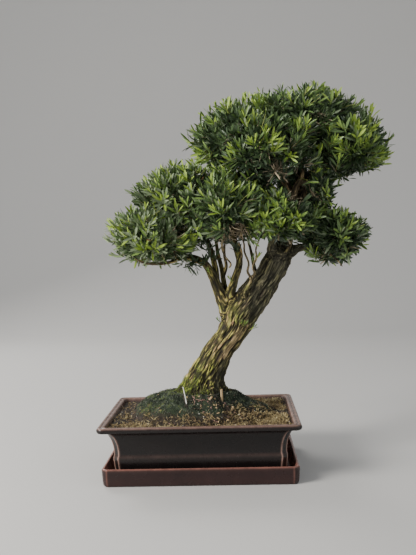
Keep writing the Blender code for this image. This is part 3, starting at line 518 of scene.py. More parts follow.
def evaluated(made):
    """A new mesh of what an object's modifiers make of it."""
    return bpy.data.meshes.new_from_object(made.evaluated_get(bpy.context.evaluated_depsgraph_get()))


def set_values(mesh, label, data, kind="FLOAT", field="value"):
    """Numbers at the points of a mesh, for its material."""
    layer = mesh.attributes.new(label, kind, "POINT")
    layer.data.foreach_set(field, np.asarray(data, np.float32).ravel())


def place_piece(piece, materials, slot, replaced=()):
    """Finishes a piece and puts it on the one body and in the place of solids; its slot is not used."""
    for entry in materials:
        piece.data.materials.append(entry)
    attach(piece, "root")
    if replaced:
        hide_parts(*replaced)
    return piece


def joined(parts):
    """Points, faces and colour numbers of several arrays of the same face size as one."""
    points, faces, numbers = [], [], []
    count = 0
    for part_points, part_faces, part_numbers in parts:
        points.append(part_points)
        faces.append(part_faces + count)
        numbers.append(np.broadcast_to(part_numbers, len(part_faces)))
        count += len(part_points)
    return np.vstack(points), np.vstack(faces), np.concatenate(numbers)


def add_piece(name, parts, materials, slot, replaced=()):
    """A mesh piece from parts of points, rows of corner numbers and colour numbers."""
    points, corners, numbers = joined(parts)
    mesh = bpy.data.meshes.new(name)
    mesh.vertices.add(len(points))
    mesh.vertices.foreach_set("co", points.astype(np.float32).ravel())
    mesh.loops.add(corners.size)
    mesh.loops.foreach_set("vertex_index", corners.astype(np.int32).ravel())
    mesh.polygons.add(len(corners))
    mesh.polygons.foreach_set("loop_start", np.arange(0, corners.size, corners.shape[1], dtype=np.int32))
    mesh.polygons.foreach_set("material_index", numbers.astype(np.int32))
    mesh.update(calc_edges=True)
    mesh.validate()
    mesh.shade_smooth()
    return place_piece(linked(name, mesh), materials, slot, replaced)


def circle(sides):
    return 2 * math.pi * np.arange(sides) / sides


def turned(side, across, angle):
    """Directions at those angles from the first of two square directions towards the second."""
    return np.cos(angle)[..., None] * side + np.sin(angle)[..., None] * across


def four_cornered(number, after):
    """Faces between rows of point numbers and the numbers of the points beside them."""
    corners = [number[..., :-1, :], after[..., :-1, :], after[..., 1:, :], number[..., 1:, :]]
    return np.stack(corners, axis=-1).reshape(-1, 4)


def copies(faces, count, points_each):
    """The faces of so many equal forms, from those of one."""
    firsts = np.arange(count) * points_each
    return (faces[None] + firsts[:, None, None]).reshape(-1, faces.shape[1])


def capped(rings):
    """Points and faces of a closed tube through rings of equal point counts, as plain lists."""
    rings = np.asarray(rings)
    levels, count = rings.shape[:2]
    number = np.arange(levels * count).reshape(levels, count)
    faces = four_cornered(number, np.roll(number, -1, axis=1)).tolist()
    caps = [number[0, ::-1].tolist(), number[-1].tolist()]
    return rings.reshape(-1, 3).tolist(), faces + caps


class Line:
    """A limb's line: a smooth curve through stations of x, y, z and radius, read by its length."""

    def __init__(self, stations):
        knots = np.array(stations) / TENTHS
        knots = np.vstack([2 * knots[0] - knots[1], knots, 2 * knots[-1] - knots[-2]])
        fine = []
        for place in range(1, len(knots) - 2):
            a, b, c, d = knots[place - 1 : place + 3]
            for share in np.linspace(0, 1, 12, endpoint=False):
                curved = 2 * b + (c - a) * share
                curved = curved + (2 * a - 5 * b + 4 * c - d) * share**2
                curved = curved + (3 * b - a - 3 * c + d) * share**3
                fine.append(curved / 2)
        fine = np.array(fine + [knots[-2]])
        hops = np.linalg.norm(np.diff(fine[:, :3], axis=0), axis=1)
        self.along = np.concatenate([[0], np.cumsum(hops)])
        self.length = float(self.along[-1])
        tangents = normalised(np.gradient(fine[:, :3], self.along, axis=0))
        side = np.array([0.0, 1.0, 0.0])
        sides = []
        for tangent in tangents:
            side = side - tangent * side.dot(tangent)
            side = side / np.linalg.norm(side)
            sides.append(side)
        self.columns = np.hstack([fine, tangents, sides]).T

    def at(self, distance):
        """Centres, radii, tangents and first sides at those distances along the line."""
        values = np.stack([np.interp(distance, self.along, column) for column in self.columns], 1)
        centre, radius, tangent, side = values[:, :3], values[:, 3], values[:, 4:7], values[:, 7:]
        tangent = normalised(tangent)
        return centre, radius, tangent, normalised(side - tangent * (side * tangent).sum(1)[:, None])


def curve(start, control, end, count):
    """Points along smooth arcs from each start to each end."""
    share = np.linspace(0, 1, count)[None, :, None]
    start, control, end = start[:, None], control[:, None], end[:, None]
    return start * (1 - share) ** 2 + control * 2 * share * (1 - share) + end * share**2


def kinked(paths, size, chance):
    """The paths with small random bends between their ends."""
    kinks = chance.normal(0, size, paths.shape)
    kinks[:, (0, -1)] = 0
    return paths + kinks


def tubes(paths, radii, sides):
    """Points and faces of many thin tubes, one for each path. Radii run evenly between the two given."""
    count, steps = paths.shape[:2]
    ways = normalised(np.gradient(paths, axis=1))
    side = normalised(np.cross(ways, np.array([0.31, 0.83, 0.47])))
    across = np.cross(ways, side)
    thick = np.linspace(radii[0], radii[1], steps)[None, :, None, None]
    points = paths[:, :, None] + turned(side[:, :, None], across[:, :, None], circle(sides)) * thick
    number = np.arange(count * steps * sides).reshape(count, steps, sides)
    return points.reshape(-1, 3), four_cornered(number, np.roll(number, -1, axis=2))


# Wood: trunk, leader, boughs and side branches as one skin with bark ridges

BATCH = 4000  # points worked on at a time
WOOD_VOXEL = 0.00122
RING_STEP = 0.003
SAMPLE_STEP = 0.002
AXIS_SIDES = 64
BOUGH_SIDES = 14
TRUNK_SINK = 0.006  # the bark runs this far down into the moss
RIDGES = (0.0018, 0.020)  # half the width and half the length of the ridges of bark
CRACKS = (0.0013, 0.009)
STRIPS = (0.0090, 0.045)  # the same for the smooth strips
FIBRE_STRETCH = 0.16  # how much shorter the pattern of fine fibres is made along the growth
COARSE_BARK = (0.0055, 0.006)  # the radius where fine bark starts to turn coarse, and the span of that
RIDGE_DEPTH = 0.0030
BOUGH_RIDGES = 0.17  # the most that they are on a thin limb, as a share of its radius
BURLS = 0.05  # of the radius
PEELED_Z = 0.188  # height of the smooth strips where old bark has come off
KNOTTED_Z = 0.425  # height of the leader's knots
FOOT_MOSS = 0.034  # how far the thick moss climbs up the trunk
# Greyer bark up the trunk and on its right side: partly its own tone, partly painted shade.
SHADE_GREY_PLACE = (0.055, 0.03)  # where the grey bark starts in X, and the span until it is whole
SHADE_GREY_RISE = (0.085, 0.03)  # the same for the height above the ground
# The bare wood at the leader's top is pale tan, and it is painted lighter still than the crown's shade
# leaves it.
BARE_RISE = (0.235, 0.030)  # the same for wood without old bark
PALE_LIMB = (0.0036, 0.0010)  # the radius under which limbs get pale, and the span of that
MOSS_TUFTS = 6000  # the most blades of moss on the bark


def root_spread(angle):
    """How far the root flare stands out of the trunk at the ground, in that direction."""
    spread = np.zeros_like(angle)
    for degrees, reach_out in ROOTS:
        turn = (angle - math.radians(degrees) + math.pi) % (2 * math.pi) - math.pi
        spread = spread + reach_out * bell(turn, ROOT_WIDTH)
    return spread


def axis_surface(line, distances, angles):
    """Points on the trunk at those distances and angles."""
    centre, radius, tangent, _ = line.at(distances)
    height = centre[:, 2] - GROUND_Z
    settle = slope(height, 0, AXIS_SETTLE)[:, None]
    up = normalised(np.array([0, 0, 1]) * (1 - settle) + tangent * settle)
    side = normalised(np.array([1.0, 0, 0]) - up * up[:, :1])
    flute = np.cos(FLUTES * (angles + FLUTE_TWIST * height))
    out = radius * (1 + FLUTE_DEPTH * flute) + root_spread(angles) * np.exp(-height / ROOT_FADE)
    return centre + out[:, None] * turned(side, np.cross(up, side), angles)


def axis_tube(line):
    places = np.arange(0, line.length, RING_STEP)
    rings = [axis_surface(line, np.full(AXIS_SIDES, place), circle(AXIS_SIDES)) for place in places]
    return [rings[0] - (0, 0, TRUNK_SINK)] + rings


def bough_tube(line):
    rings = []
    for centre, radius, tangent, side in zip(*line.at(np.arange(0, line.length, RING_STEP))):
        rings.append(centre + radius * turned(side, np.cross(tangent, side), circle(BOUGH_SIDES)))
    return rings


def joined_skin(tubes_in):
    """One skin round closed tubes that run into each other, with rounded crotches."""
    points, faces = [], []
    for rings in tubes_in:
        tube_points, tube_faces = capped(rings)
        faces += [[number + len(points) for number in face] for face in tube_faces]
        points += tube_points
    mesh = bpy.data.meshes.new("wood")
    mesh.from_pydata(points, [], faces)
    wood = linked("wood", mesh)
    remesh = wood.modifiers.new("skin", "REMESH")
    remesh.mode = "VOXEL"
    remesh.voxel_size = WOOD_VOXEL
    soften = wood.modifiers.new("soften", "SMOOTH")
    soften.iterations = 2
    soften.factor = 0.5
    result = evaluated(wood)
    bpy.data.objects.remove(wood)
    return result


def limb_samples(lines):
    """Centre, radius, tangent, first side and place along its limb every 2 mm of all lines."""
    places = [np.arange(0, line.length, SAMPLE_STEP) for line in lines]
    rows = [(*line.at(place), place) for line, place in zip(lines, places)]
    return [np.concatenate(column) for column in zip(*rows)]


def growth_field(points, samples):
    """The limb's radius near each point, and the point's place in it: across, across and along."""
    centres, radii, tangents, sides, places = samples
    acrosses = np.cross(tangents, sides)
    grain = np.zeros_like(points)
    sizes = np.zeros(len(points))
    for start in range(0, len(points), BATCH):
        part = slice(start, start + BATCH)
        away = points[part, None] - centres[None]
        gap = np.linalg.norm(away, axis=2) - radii[None]
        weight = np.exp(-np.maximum(gap - gap.min(axis=1)[:, None], 0) / 0.002)
        weight /= weight.sum(axis=1)[:, None]
        sizes[part] = weight @ radii
        for column, (ways, base) in enumerate(((sides, 0), (acrosses, 0), (tangents, places))):
            local = np.einsum("ijk,jk->ij", away, ways) + base
            grain[part, column] = (weight * local).sum(axis=1)
    return grain, sizes


def streaks(grain, size, length, seed):
    """Noise drawn out along the growth, with a spread of about 1."""
    places = grain * (1, 1, size / length)
    for column in range(2):
        places[:, column] += 0.0014 * noise(grain, 0.017, seed + 50 + column)
    values = noise(places, size, seed)
    return values / values.std()


def bark_relief(grain, sizes):
    """1 on the crests of the bark and 0 in its furrows, which are finer on thin limbs."""
    ridges = streaks(grain, *RIDGES, 3)
    cracks = streaks(grain, *CRACKS, 4)
    thick = slope(sizes, *COARSE_BARK)
    height = thick * (0.80 * ridges + 0.65 * cracks) + (1 - thick) * (0.50 + 0.45 * ridges + 0.60 * cracks)
    height += 0.25 * noise(grain, 0.0026, 7)
    return unit(0.50 + 0.33 * height)


def peeled_strips(points, grain, normals):
    """1 on the smooth strips on the trunk's lower right side."""
    strips = unit(2.5 * streaks(grain, *STRIPS, 6))
    side = unit(3.0 * (normals[:, 0] * 0.85 - normals[:, 1] * 0.5) - 1.2)
    return strips * side * np.exp(-(((points[:, 2] - PEELED_Z) / 0.034) ** 4))


def bark_swell(points, sizes, relief):
    """How far the bark's ridges and burls stand out of the plain skin."""
    depth = np.minimum(RIDGE_DEPTH, BOUGH_RIDGES * sizes)
    knots = 1 + 3 * bell(points[:, 2] - KNOTTED_Z, 0.035)
    burls = BURLS * knots * np.minimum(sizes, 0.022) * noise(points, 0.009, 8)
    return (relief - 0.62) * depth + burls


def bark_moss(height, patches, normals, relief):
    """Thick moss on the crests at the foot and a film higher up, least on the right."""
    lit = np.clip(0.5 - 0.7 * normals[:, 0], 0.05, 1)
    moss = unit(1.35 - height / FOOT_MOSS + 1.2 * patches) * lit * unit(2.2 * relief - 0.3)
    film = np.clip(patches * 1.8 - 0.45, 0, 0.7) * unit(1 - (height - 0.10) / 0.1)
    return unit(np.maximum(moss, film * lit))


def bark_grey_and_shade(points, normals, sizes, peeled, patches):
    """Greyer up the trunk, where the crown's shadow is painted in as a darker tone, and painted shade on
    its right side, except on smooth strips and on thin limbs.
    """
    grey_and_shade = slope(points[:, 0], *SHADE_GREY_PLACE) * slope(points[:, 2] - GROUND_Z, *SHADE_GREY_RISE)
    # Painted shade on the side that faces away from the key light.
    grey_and_shade = np.maximum(grey_and_shade, unit(1.6 * normals[:, 0] - 0.4) * (1 - peeled)) * (0.85 + 0.3 * patches)
    return unit(grey_and_shade * np.clip((sizes - 0.002) / 0.004, 0.2, 1))


def mesh_arrays(mesh, label):
    values = np.empty(len(mesh.vertices) * 3, np.float32)
    mesh.vertices.foreach_get(label, values)
    return values.reshape(-1, 3).astype(float)


def build_wood(lines, finish, chance):
    """The bark piece. Returns its points and the directions out of them, and the numbers of mossy ones."""
    mesh = joined_skin([axis_tube(lines[0])] + [bough_tube(line) for line in lines[1:]])
    points = mesh_arrays(mesh, "co")
    normals = mesh_arrays(mesh, "normal")
    grain, sizes = growth_field(points, limb_samples(lines))
    relief = bark_relief(grain, sizes)
    strips = peeled_strips(points, grain, normals)
    relief = relief * (1 - strips) + (0.70 + 0.25 * relief) * strips
    points += normals * bark_swell(points, sizes, relief)[:, None]
    mesh.vertices.foreach_set("co", points.astype(np.float32).ravel())
    height = points[:, 2] - GROUND_Z
    patches = noise(points, 0.018, 21) * 0.6 + noise(points, 0.006, 22) * 0.4
    moss = bark_moss(height, patches, normals, relief)
    # Pale at the leader's top: bare wood, painted lighter against the crown's shade.
    peeled = np.maximum(strips, slope(height, *BARE_RISE))
    peeled = np.maximum(peeled, 0.8 * slope(PALE_LIMB[0] - sizes, 0, PALE_LIMB[1]))
    # Darker towards the ground: painted shade at the trunk's foot, carried in the relief attribute for
    # colour only.
    set_values(mesh, "relief", relief * np.clip(0.4 + height / 0.014, 0.4, 1))
    set_values(mesh, "moss", moss)
    set_values(mesh, "peeled", peeled)
    set_values(mesh, "grey_and_shade", bark_grey_and_shade(points, normals, sizes, strips, patches))
    set_values(mesh, "grain", grain * (1, 1, FIBRE_STRETCH), "FLOAT_VECTOR", "vector")
    mesh.shade_smooth()
    place_piece(linked("bark", mesh), [finish], "bark", ["trunk", "leader", *BOUGHS])
    mossy = np.nonzero((moss > 0.45) & (height > 0) & (relief > 0.45))[0]
    return points, normals, chance.choice(mossy, min(len(mossy), MOSS_TUFTS), replace=False)


# Leaf masses

NAMES = list(MASSES)
HEARTS, HALVES, HEIGHTS = (np.array(column) / 1000 for column in zip(*MASSES.values()))


def gauges(points):
    """For each mass, 0 at its heart and 1 on the surface of its own oval form."""
    away = points[None] - HEARTS[:, None]
    across = away[..., 0] / HALVES[:, :1]
    deep = away[..., 1] / HALVES[:, 1:]
    high = away[..., 2] / np.where(away[..., 2] > 0, HEIGHTS[:, :1], HEIGHTS[:, 1:])
    return np.sqrt(across**2 + deep**2 + high**2)


def unevenness(points):
    """Swells and hollows of the crown, from -1 to 1."""
    x, y, z = points.T
    swells = np.sin(95 * x + 2 * np.sin(60 * y)) + np.sin(88 * y + 2 * np.sin(70 * z))
    return (swells + np.sin(101 * z + 2 * np.sin(55 * x))) / 3


def crown_gauge(values, points):
    """1 on the surface of the crown: the masses' forms with filled creases, lumps and a rounded top."""
    out = np.clip(np.abs(points[:, 1]) / SHOULDER_PLACE[0], 0, 1.2) ** 2
    high = np.clip((points[:, 2] - SHOULDER_PLACE[1]) / SHOULDER_PLACE[2], 0, 1.2) ** 2
    blended = -np.log(np.exp(-BLEND * values).sum(axis=0)) / BLEND
    return blended - LUMPS * unevenness(points) + SHOULDER_TRIM * out * high


def belongs(name, points, most=1.0, overlap=0.0):
    """True where a point is inside the crown, in the mass's own space and in no other's."""
    values = gauges(points)
    number = NAMES.index(name)
    others = np.delete(values, number, axis=0).min(axis=0)
    return (crown_gauge(values, points) <= most) & (others - values[number] > -overlap)


class Limbs:
    """Every limb as short round lengths, to keep leaves clear of them."""

    def __init__(self, lines):
        samples = [line.at(np.arange(0, line.length, 0.005))[:2] for line in lines]
        self.starts = np.vstack([centres[:-1] for centres, _ in samples])
        self.ways = np.vstack([np.diff(centres, axis=0) for centres, _ in samples])
        self.squares = (self.ways**2).sum(axis=1)
        self.radii = np.concatenate([radii[:-1] for _, radii in samples]) * 1.05

    def clear(self, points, clearance):
        """True for points that far away from every limb."""
        result = np.ones(len(points), bool)
        for start in range(0, len(points), BATCH):
            part = slice(start, start + BATCH)
            away = points[part, None] - self.starts[None]
            share = unit((away * self.ways).sum(2) / self.squares)
            gaps = np.linalg.norm(away - self.ways * share[..., None], axis=2) - self.radii
            result[part] = gaps.min(axis=1) > clearance
        return result


def spiral(count, halves, heights, turn):
    """Directions spread evenly over an oval form."""
    number = np.arange(count)
    z = 1 - 2 * (number + 0.5) / count
    flat = np.sqrt(1 - z * z)
    angle = number * GOLDEN_TURN + turn
    height = np.where(z > 0, heights[0], heights[1])
    x = flat * np.cos(angle) * halves[0]
    y = flat * np.sin(angle) * halves[1]
    return normalised(np.stack([x, y, z * height], 1))


def mass_form(name):
    """Its heart, its half widths, and its heights above and below the heart."""
    number = NAMES.index(name)
    return HEARTS[number], HALVES[number], HEIGHTS[number]


def reach(name, ways):
    """How far the mass's space goes from its heart in each direction."""
    steps = np.arange(0.006, 0.14, 0.0015)
    points = mass_form(name)[0] + ways[:, None] * steps[None, :, None]
    inside = belongs(name, points.reshape(-1, 3)).reshape(len(ways), len(steps))
    first_out = np.where(inside.all(axis=1), len(steps) - 1, np.argmin(inside, axis=1))
    return steps[first_out]


def leaf_triangles(stations):
    """Faces of a leaf: its root, the left, middle and right point of each station, and its tip."""
    faces = []
    for number in range(stations):
        left, middle, right = (1 + hand * stations + number for hand in range(3))
        if number == 0:
            faces += [(0, middle, left), (0, right, middle)]
        else:
            faces += [(left - 1, middle - 1, middle), (left - 1, middle, left)]
            faces += [(middle - 1, right - 1, right), (middle - 1, right, middle)]
    tip = 3 * stations + 1
    faces += [(stations, 2 * stations, tip), (2 * stations, 3 * stations, tip)]
    return np.array(faces)


def leaf_mesh(stations, roots, ways, faces_up, lengths, widths, curls, tones):
    """Points, triangles and colour numbers of leaves folded along their midribs."""
    across = normalised(np.cross(ways, faces_up))
    normal = np.cross(across, ways)
    rows = {-1: [], 0: [], 1: []}
    for place, width in stations:
        middle = roots + ways * (lengths * place)[:, None]
        middle = middle - normal * (lengths * curls * place * place)[:, None]
        rows[0].append(middle)
        for hand in (-1, 1):
            edge = middle + across * (hand * widths * width / 2)[:, None]
            rows[hand].append(edge + normal * (widths * width * LEAF_FOLD)[:, None])
    tips = roots + ways * lengths[:, None] - normal * (lengths * curls)[:, None]
    points = np.stack([roots] + rows[-1] + rows[0] + rows[1] + [tips], axis=1)
    triangles = leaf_triangles(len(stations))
    faces = copies(triangles, len(roots), points.shape[1])
    return points.reshape(-1, 3), faces, np.repeat(tones, len(triangles))


def grow_branches(name, line, chance):
    """Branches from the stem in the mass, spread over its directions."""
    heart, halves, heights = mass_form(name)
    ways = spiral(BRANCHES, halves, heights, chance.uniform(0, 6.28))
    ways = normalised(ways + chance.uniform(-0.2, 0.2, ways.shape))
    low = ways[:, 2] < -0.3
    ends = heart + ways * (reach(name, ways) * np.where(low, LOW_BRANCH_SHARE, BRANCH_SHARE))[:, None]
    stem = line.at(np.linspace(line.length - 0.040, line.length, 12))[0]
    nearest = np.argmin(np.linalg.norm(heart + ways[:, None] * 0.012 - stem[None], axis=2), axis=1)
    starts = stem[nearest]
    bows = starts + (ends - starts) * 0.5 + chance.uniform(-0.008, 0.008, ends.shape)
    bows[:, 2] -= 0.004
    return kinked(curve(starts, bows, ends, 9), BRANCH_KINKS, chance)


def near_places(points, places):
    """1 at those places on the viewer's side and 0 away from them."""
    found = np.zeros(len(points))
    for x, z, radius in places:
        found = np.maximum(found, bell(np.hypot(points[:, 0] - x, points[:, 2] - z), radius))
    return np.where(points[:, 1] < -0.005, found, 0)


def twig_paths(branches, middles, ends, chance):
    """Twigs to those ends, each from the branch nearest to its middle, and which are long enough."""
    joints = branches[:, 3:].reshape(-1, 3)
    headings = normalised(np.gradient(branches, axis=1))[:, 3:].reshape(-1, 3)
    nearest = np.argmin(np.linalg.norm(middles[:, None] - joints[None], axis=2), axis=1)
    starts = joints[nearest]
    gap = np.linalg.norm(ends - starts, axis=1)
    control = starts + headings[nearest] * gap[:, None] * 0.35 + chance.uniform(-0.004, 0.004, starts.shape)
    control[:, 2] -= gap * 0.05
    return kinked(curve(starts, control, ends, 6), TWIG_KINKS, chance), gap > SHORTEST_TWIG


def grow_twigs(name, branches, area, depth, chance):
    """Twigs of one layer: their paths, how the crown swells there, and which are young and have leaves."""
    heart, halves, heights = mass_form(name)
    mean = (halves[0] + halves[1] + (heights[0] + heights[1]) / 2) / 3
    count = round(4 * math.pi * mean * mean / area)
    ways = spiral(count, halves, heights, chance.uniform(0, 6.28))
    ways = normalised(ways + chance.uniform(-0.05, 0.05, ways.shape))
    spans = reach(name, ways)
    surface = heart + ways * spans[:, None]
    outer = crown_gauge(gauges(surface), surface) >= OUTER_GAUGE
    share = np.where(ways[:, 2] < -0.5, UNDER_SHARE, 1.0) * (1 - 0.9 * near_places(surface, THIN_PLACES))
    leafy = drawn(share, count, chance)[outer]
    ways, spans, surface = ways[outer], spans[outer], surface[outer]
    clumps = noise(surface, 0.026, 31)
    wanted = YOUNG_SHARE * (1.0 + 1.2 * noise(surface, 0.045, 33)) * np.clip(1 + ways[:, 2], 0.4, 1.3)
    young = drawn(np.maximum(wanted, 0.95 * near_places(surface, YOUNG_TUFTS)), len(ways), chance)
    lumps = 0.88 + 0.12 * clumps + chance.uniform(-0.09, 0.07, len(ways))
    length = np.minimum(spans * lumps, spans * 1.02) * depth - LEAF_LENGTH * TIP_ROOM
    stretched = spans - LEAF_LENGTH * TIP_ROOM + chance.uniform(*YOUNG_STRETCH, len(ways))
    length = np.where(young & (depth == 1.0), stretched, length)
    middles = heart + ways * (spans * 0.50)[:, None]
    paths, kept = twig_paths(branches, middles, heart + ways * length[:, None], chance)
    return [values[kept] for values in (paths, clumps, young & leafy, leafy)]


def grow_leaves(paths, pairs, keep, chance):
    """Opposite pairs of leaves along the ends of twigs, each pair turned a quarter."""
    count = len(paths)
    tips = paths[:, -1]
    ahead = normalised(normalised(tips - paths[:, -3]) + np.array([0, 0, TIP_LIFT]))
    side = normalised(np.cross(ahead, np.array([0.13, 0.21, 1.0])))
    up = np.cross(side, ahead)
    spin = chance.uniform(0, math.pi, count)
    size = chance.uniform(0.80, 1.10, count)
    spacing = chance.uniform(*PAIR_SPACING, (count, 1))
    found = []
    for number, (back, share, splay) in enumerate(pairs):
        for half in range(2):
            turn = spin + math.pi * half + math.pi / 2 * number + chance.uniform(-0.25, 0.25, count)
            out = turned(side, up, turn)
            way = turned(ahead, out, np.radians(splay + chance.uniform(-9, 9, count)))
            way[:, 2] += chance.uniform(*LEAF_LIFT, count)
            way = normalised(way)
            root = tips - ahead * back * spacing
            length = LEAF_LENGTH * share * size * chance.uniform(0.88, 1.1, count)
            face = ahead - way * (ahead * way).sum(1)[:, None] + 0.15 * chance.uniform(-1, 1, way.shape)
            found.append((root, way, face, length, np.arange(count), np.full(count, number)))
    columns = [np.concatenate(column) for column in zip(*found)]
    root, way, _, length = columns[:4]
    fits = keep(root + way * (length * 0.55)[:, None])
    fits[fits] = keep((root + way * length[:, None])[fits])
    return [column[fits] for column in columns]


def leaf_tones(deep, young, clumps, twig, pair, sky, left, chance):
    """Colour numbers of leaves: brighter on new shoots, on swells and near the tips, with painted light on
    the left side and pale leaves as painted sheen.
    """
    age = clumps + chance.uniform(-0.8, 0.8, len(clumps)) + 0.40 * sky
    # Brighter on the left: painted light from the key light's side.
    tone = 1.35 + 0.75 * age - 0.8 * deep + 2.7 * young * (1 - deep) + 0.8 * left
    tone = tone[twig] + 0.8 * (pair == 0) + 0.3 * (pair == 1) - 0.7 * (pair >= 3)
    tone = np.clip(np.round(tone + chance.uniform(-0.45, 0.45, len(twig))), 0, 5)
    # Pale leaves paint sheen, most on the left.
    tone[drawn(SHEEN_SHARE[0] + SHEEN_SHARE[1] * left[twig], len(twig), chance) & (tone > 0)] = 6
    tone[drawn(DRY_SHARE, len(twig), chance)] = 7
    return tone.astype(int)


def leaf_test(name, limbs):
    """The test for points of leaves: in the mass's space, near the box, clear of limbs and thin places."""
    low = np.array(cad_box[0]) - OUT_OF_BOX
    high = np.array(cad_box[1]) + OUT_OF_BOX

    def keep(points):
        fits = belongs(name, points, CROWN_EDGE, SEAM_OVERLAP) & (near_places(points, THIN_PLACES) < 0.6)
        fits &= (points > low).all(axis=1) & (points < high).all(axis=1)
        fits[fits] = limbs.clear(points[fits], LIMB_CLEARANCE)
        return fits

    return keep


def build_mass(name, line, limbs, finishes, seed):
    """The twigs and leaves of one mass."""
    chance = np.random.default_rng(seed)
    branches = grow_branches(name, line, chance)
    wood = [(*tubes(branches, BRANCH_RADIUS, 5), 0)]
    foliage = []
    for deep, (area, depth, pairs, stations) in enumerate(LAYERS):
        paths, clumps, young, leafy = grow_twigs(name, branches, area, depth, chance)
        points, faces = tubes(paths, TWIG_RADIUS, 3)
        finish = np.where(drawn(TAN_SHARE, len(paths), chance), 0, 1)
        finish = np.where(young, 2, finish)
        wood.append((points, faces, np.repeat(finish, len(faces) // len(paths))))
        paths, clumps, young = paths[leafy], clumps[leafy], young[leafy]
        root, way, face, length, twig, pair = grow_leaves(paths, pairs, leaf_test(name, limbs), chance)
        length = length * np.where(young[twig], 1.05, 1.0)
        slim = (length / LEAF_LENGTH) ** LEAF_SLIMNESS
        width = LEAF_WIDTH * slim * chance.uniform(0.80, 1.20, len(root))
        sky = normalised(paths[:, -1] - mass_form(name)[0])[:, 2]
        # How far a shoot lies on the left side, where its leaves get painted light and sheen.
        left = slope(LIT_LEFT_SIDE[0] - paths[:, -1, 0], 0, LIT_LEFT_SIDE[1])
        tone = leaf_tones(deep, young, clumps, twig, pair, sky, left, chance)
        curls = chance.uniform(*LEAF_CURL, len(root))
        foliage.append(leaf_mesh(stations, root, way, face, length, width, curls, tone))
    label = name.replace("mass_", "")
    add_piece("twigs_" + label, wood, finishes["twigs"], "bark")
    add_piece("leaves_" + label, foliage, finishes["leaves"], "leaves", [name])


def build_crown(lines, limbs, finishes):
    build_mass("mass_top_mid", lines[0], limbs, finishes, SEED)
    for number, (mass, _) in enumerate(BOUGHS.values()):
        build_mass(mass, lines[number + 1], limbs, finishes, SEED + 1 + number)


# Sprouts that grow straight out of the old wood: place in tenths of a millimetre, direction, number of
# shoots, size and the number of their darkest colour
SPROUTS = (
    ((284, -100, 2306), (-0.7, -0.4, 0.7), 1, 0.55, 3),
    ((691, -240, 2223), (0.3, -0.8, 0.4), 2, 0.75, 3),
    ((790, -180, 2150), (0.8, -0.6, 0.1), 2, 0.75, 3),
    ((560, -170, 2930), (-0.4, -0.7, 0.8), 1, 0.60, 3),
    ((850, -250, 3270), (0.4, -0.6, 0.8), 2, 0.75, 3),
    ((960, -200, 3160), (-0.3, -0.6, 0.8), 1, 0.75, 3),
    ((440, 180, 2200), (-0.2, 0.9, 0.5), 3, 0.75, 3),
    ((200, -120, 3080), (-0.7, -0.5, 0.4), 1, 0.60, 3),
    ((1780, -250, 3350), (0.2, -0.8, 0.3), 4, 1.10, 3),
    # From here on the sprouts grow under the pads, and their dark colours paint the shade there.
    ((-180, -140, 3330), (-0.1, -0.6, -0.6), 6, 1.20, 1),
    ((-20, -120, 3310), (0.0, -0.6, -0.6), 7, 1.20, 0),
    ((110, -80, 3240), (-0.3, -0.7, -0.2), 5, 1.10, 0),
    ((240, 50, 3300), (0.1, -0.8, 0.2), 5, 1.10, 0),
    ((190, 80, 3480), (-0.1, -0.7, 0.3), 7, 1.20, 0),
    ((50, 80, 3700), (0.2, -0.8, -0.5), 6, 1.20, 0),
    ((640, -140, 3380), (-0.4, -0.7, 0.4), 4, 1.00, 0),
)


def build_sprouts(finishes, skin, chance):
    """Tufts on the bark, each at the point of it that is nearest to the wanted place."""
    rows = []
    for place, way, count, size, tone in SPROUTS:
        seat = skin[np.argmin(np.linalg.norm(skin - np.array(place) / TENTHS, axis=1))]
        for _ in range(count):
            heading = normalised(np.array(way) + chance.uniform(-0.45, 0.45, 3))
            end = seat + heading * chance.uniform(0.008, 0.014) * size
            rows.append((seat - heading * 0.002, end, size, tone))
    starts, ends, sizes, darkest = (np.array(column) for column in zip(*rows))
    paths = curve(starts, (starts + ends) / 2, ends, 5)
    add_piece("sprout_twigs", [(*tubes(paths, (0.0006, 0.0004), 3), 2)], finishes["twigs"], "bark")
    root, way, face, length, twig, _ = grow_leaves(
        paths, LEAF_PAIRS[:2], lambda points: np.ones(len(points), bool), chance
    )
    length = length * sizes[twig]
    width = LEAF_WIDTH * 0.8 * (length / LEAF_LENGTH) ** LEAF_SLIMNESS
    curls = chance.uniform(0, 0.15, len(root))
    tone = darkest[twig] + chance.integers(0, 3, len(root))
    leaves = leaf_mesh(WIDE_LEAF, root, way, face, length, width, curls, tone)
    add_piece("sprouts", [leaves], finishes["leaves"], "leaves")


# Pot and tray

# The edge colours stand for the glaze worn thin over edges, and they also paint its highlights and
# reflections.
POT_GLAZE = ((0.011, 0.008, 0.008), (0.007, 0.006, 0.006), (0.370, 0.225, 0.180))  # body, clouds, edges
TRAY_GLAZE = ((0.026, 0.012, 0.012), (0.017, 0.009, 0.009), (0.350, 0.155, 0.120))
BEAD_HEIGHT = 0.0006  # the thin raised edges beside a flat corner
BEAD_WIDTH = 0.0013
BEAD_LEAD = 0.0035  # how far along the side a corner's edge still shows
SOFT_BEND = 0.30  # how far from a bend of a profile its rounding starts, as a share


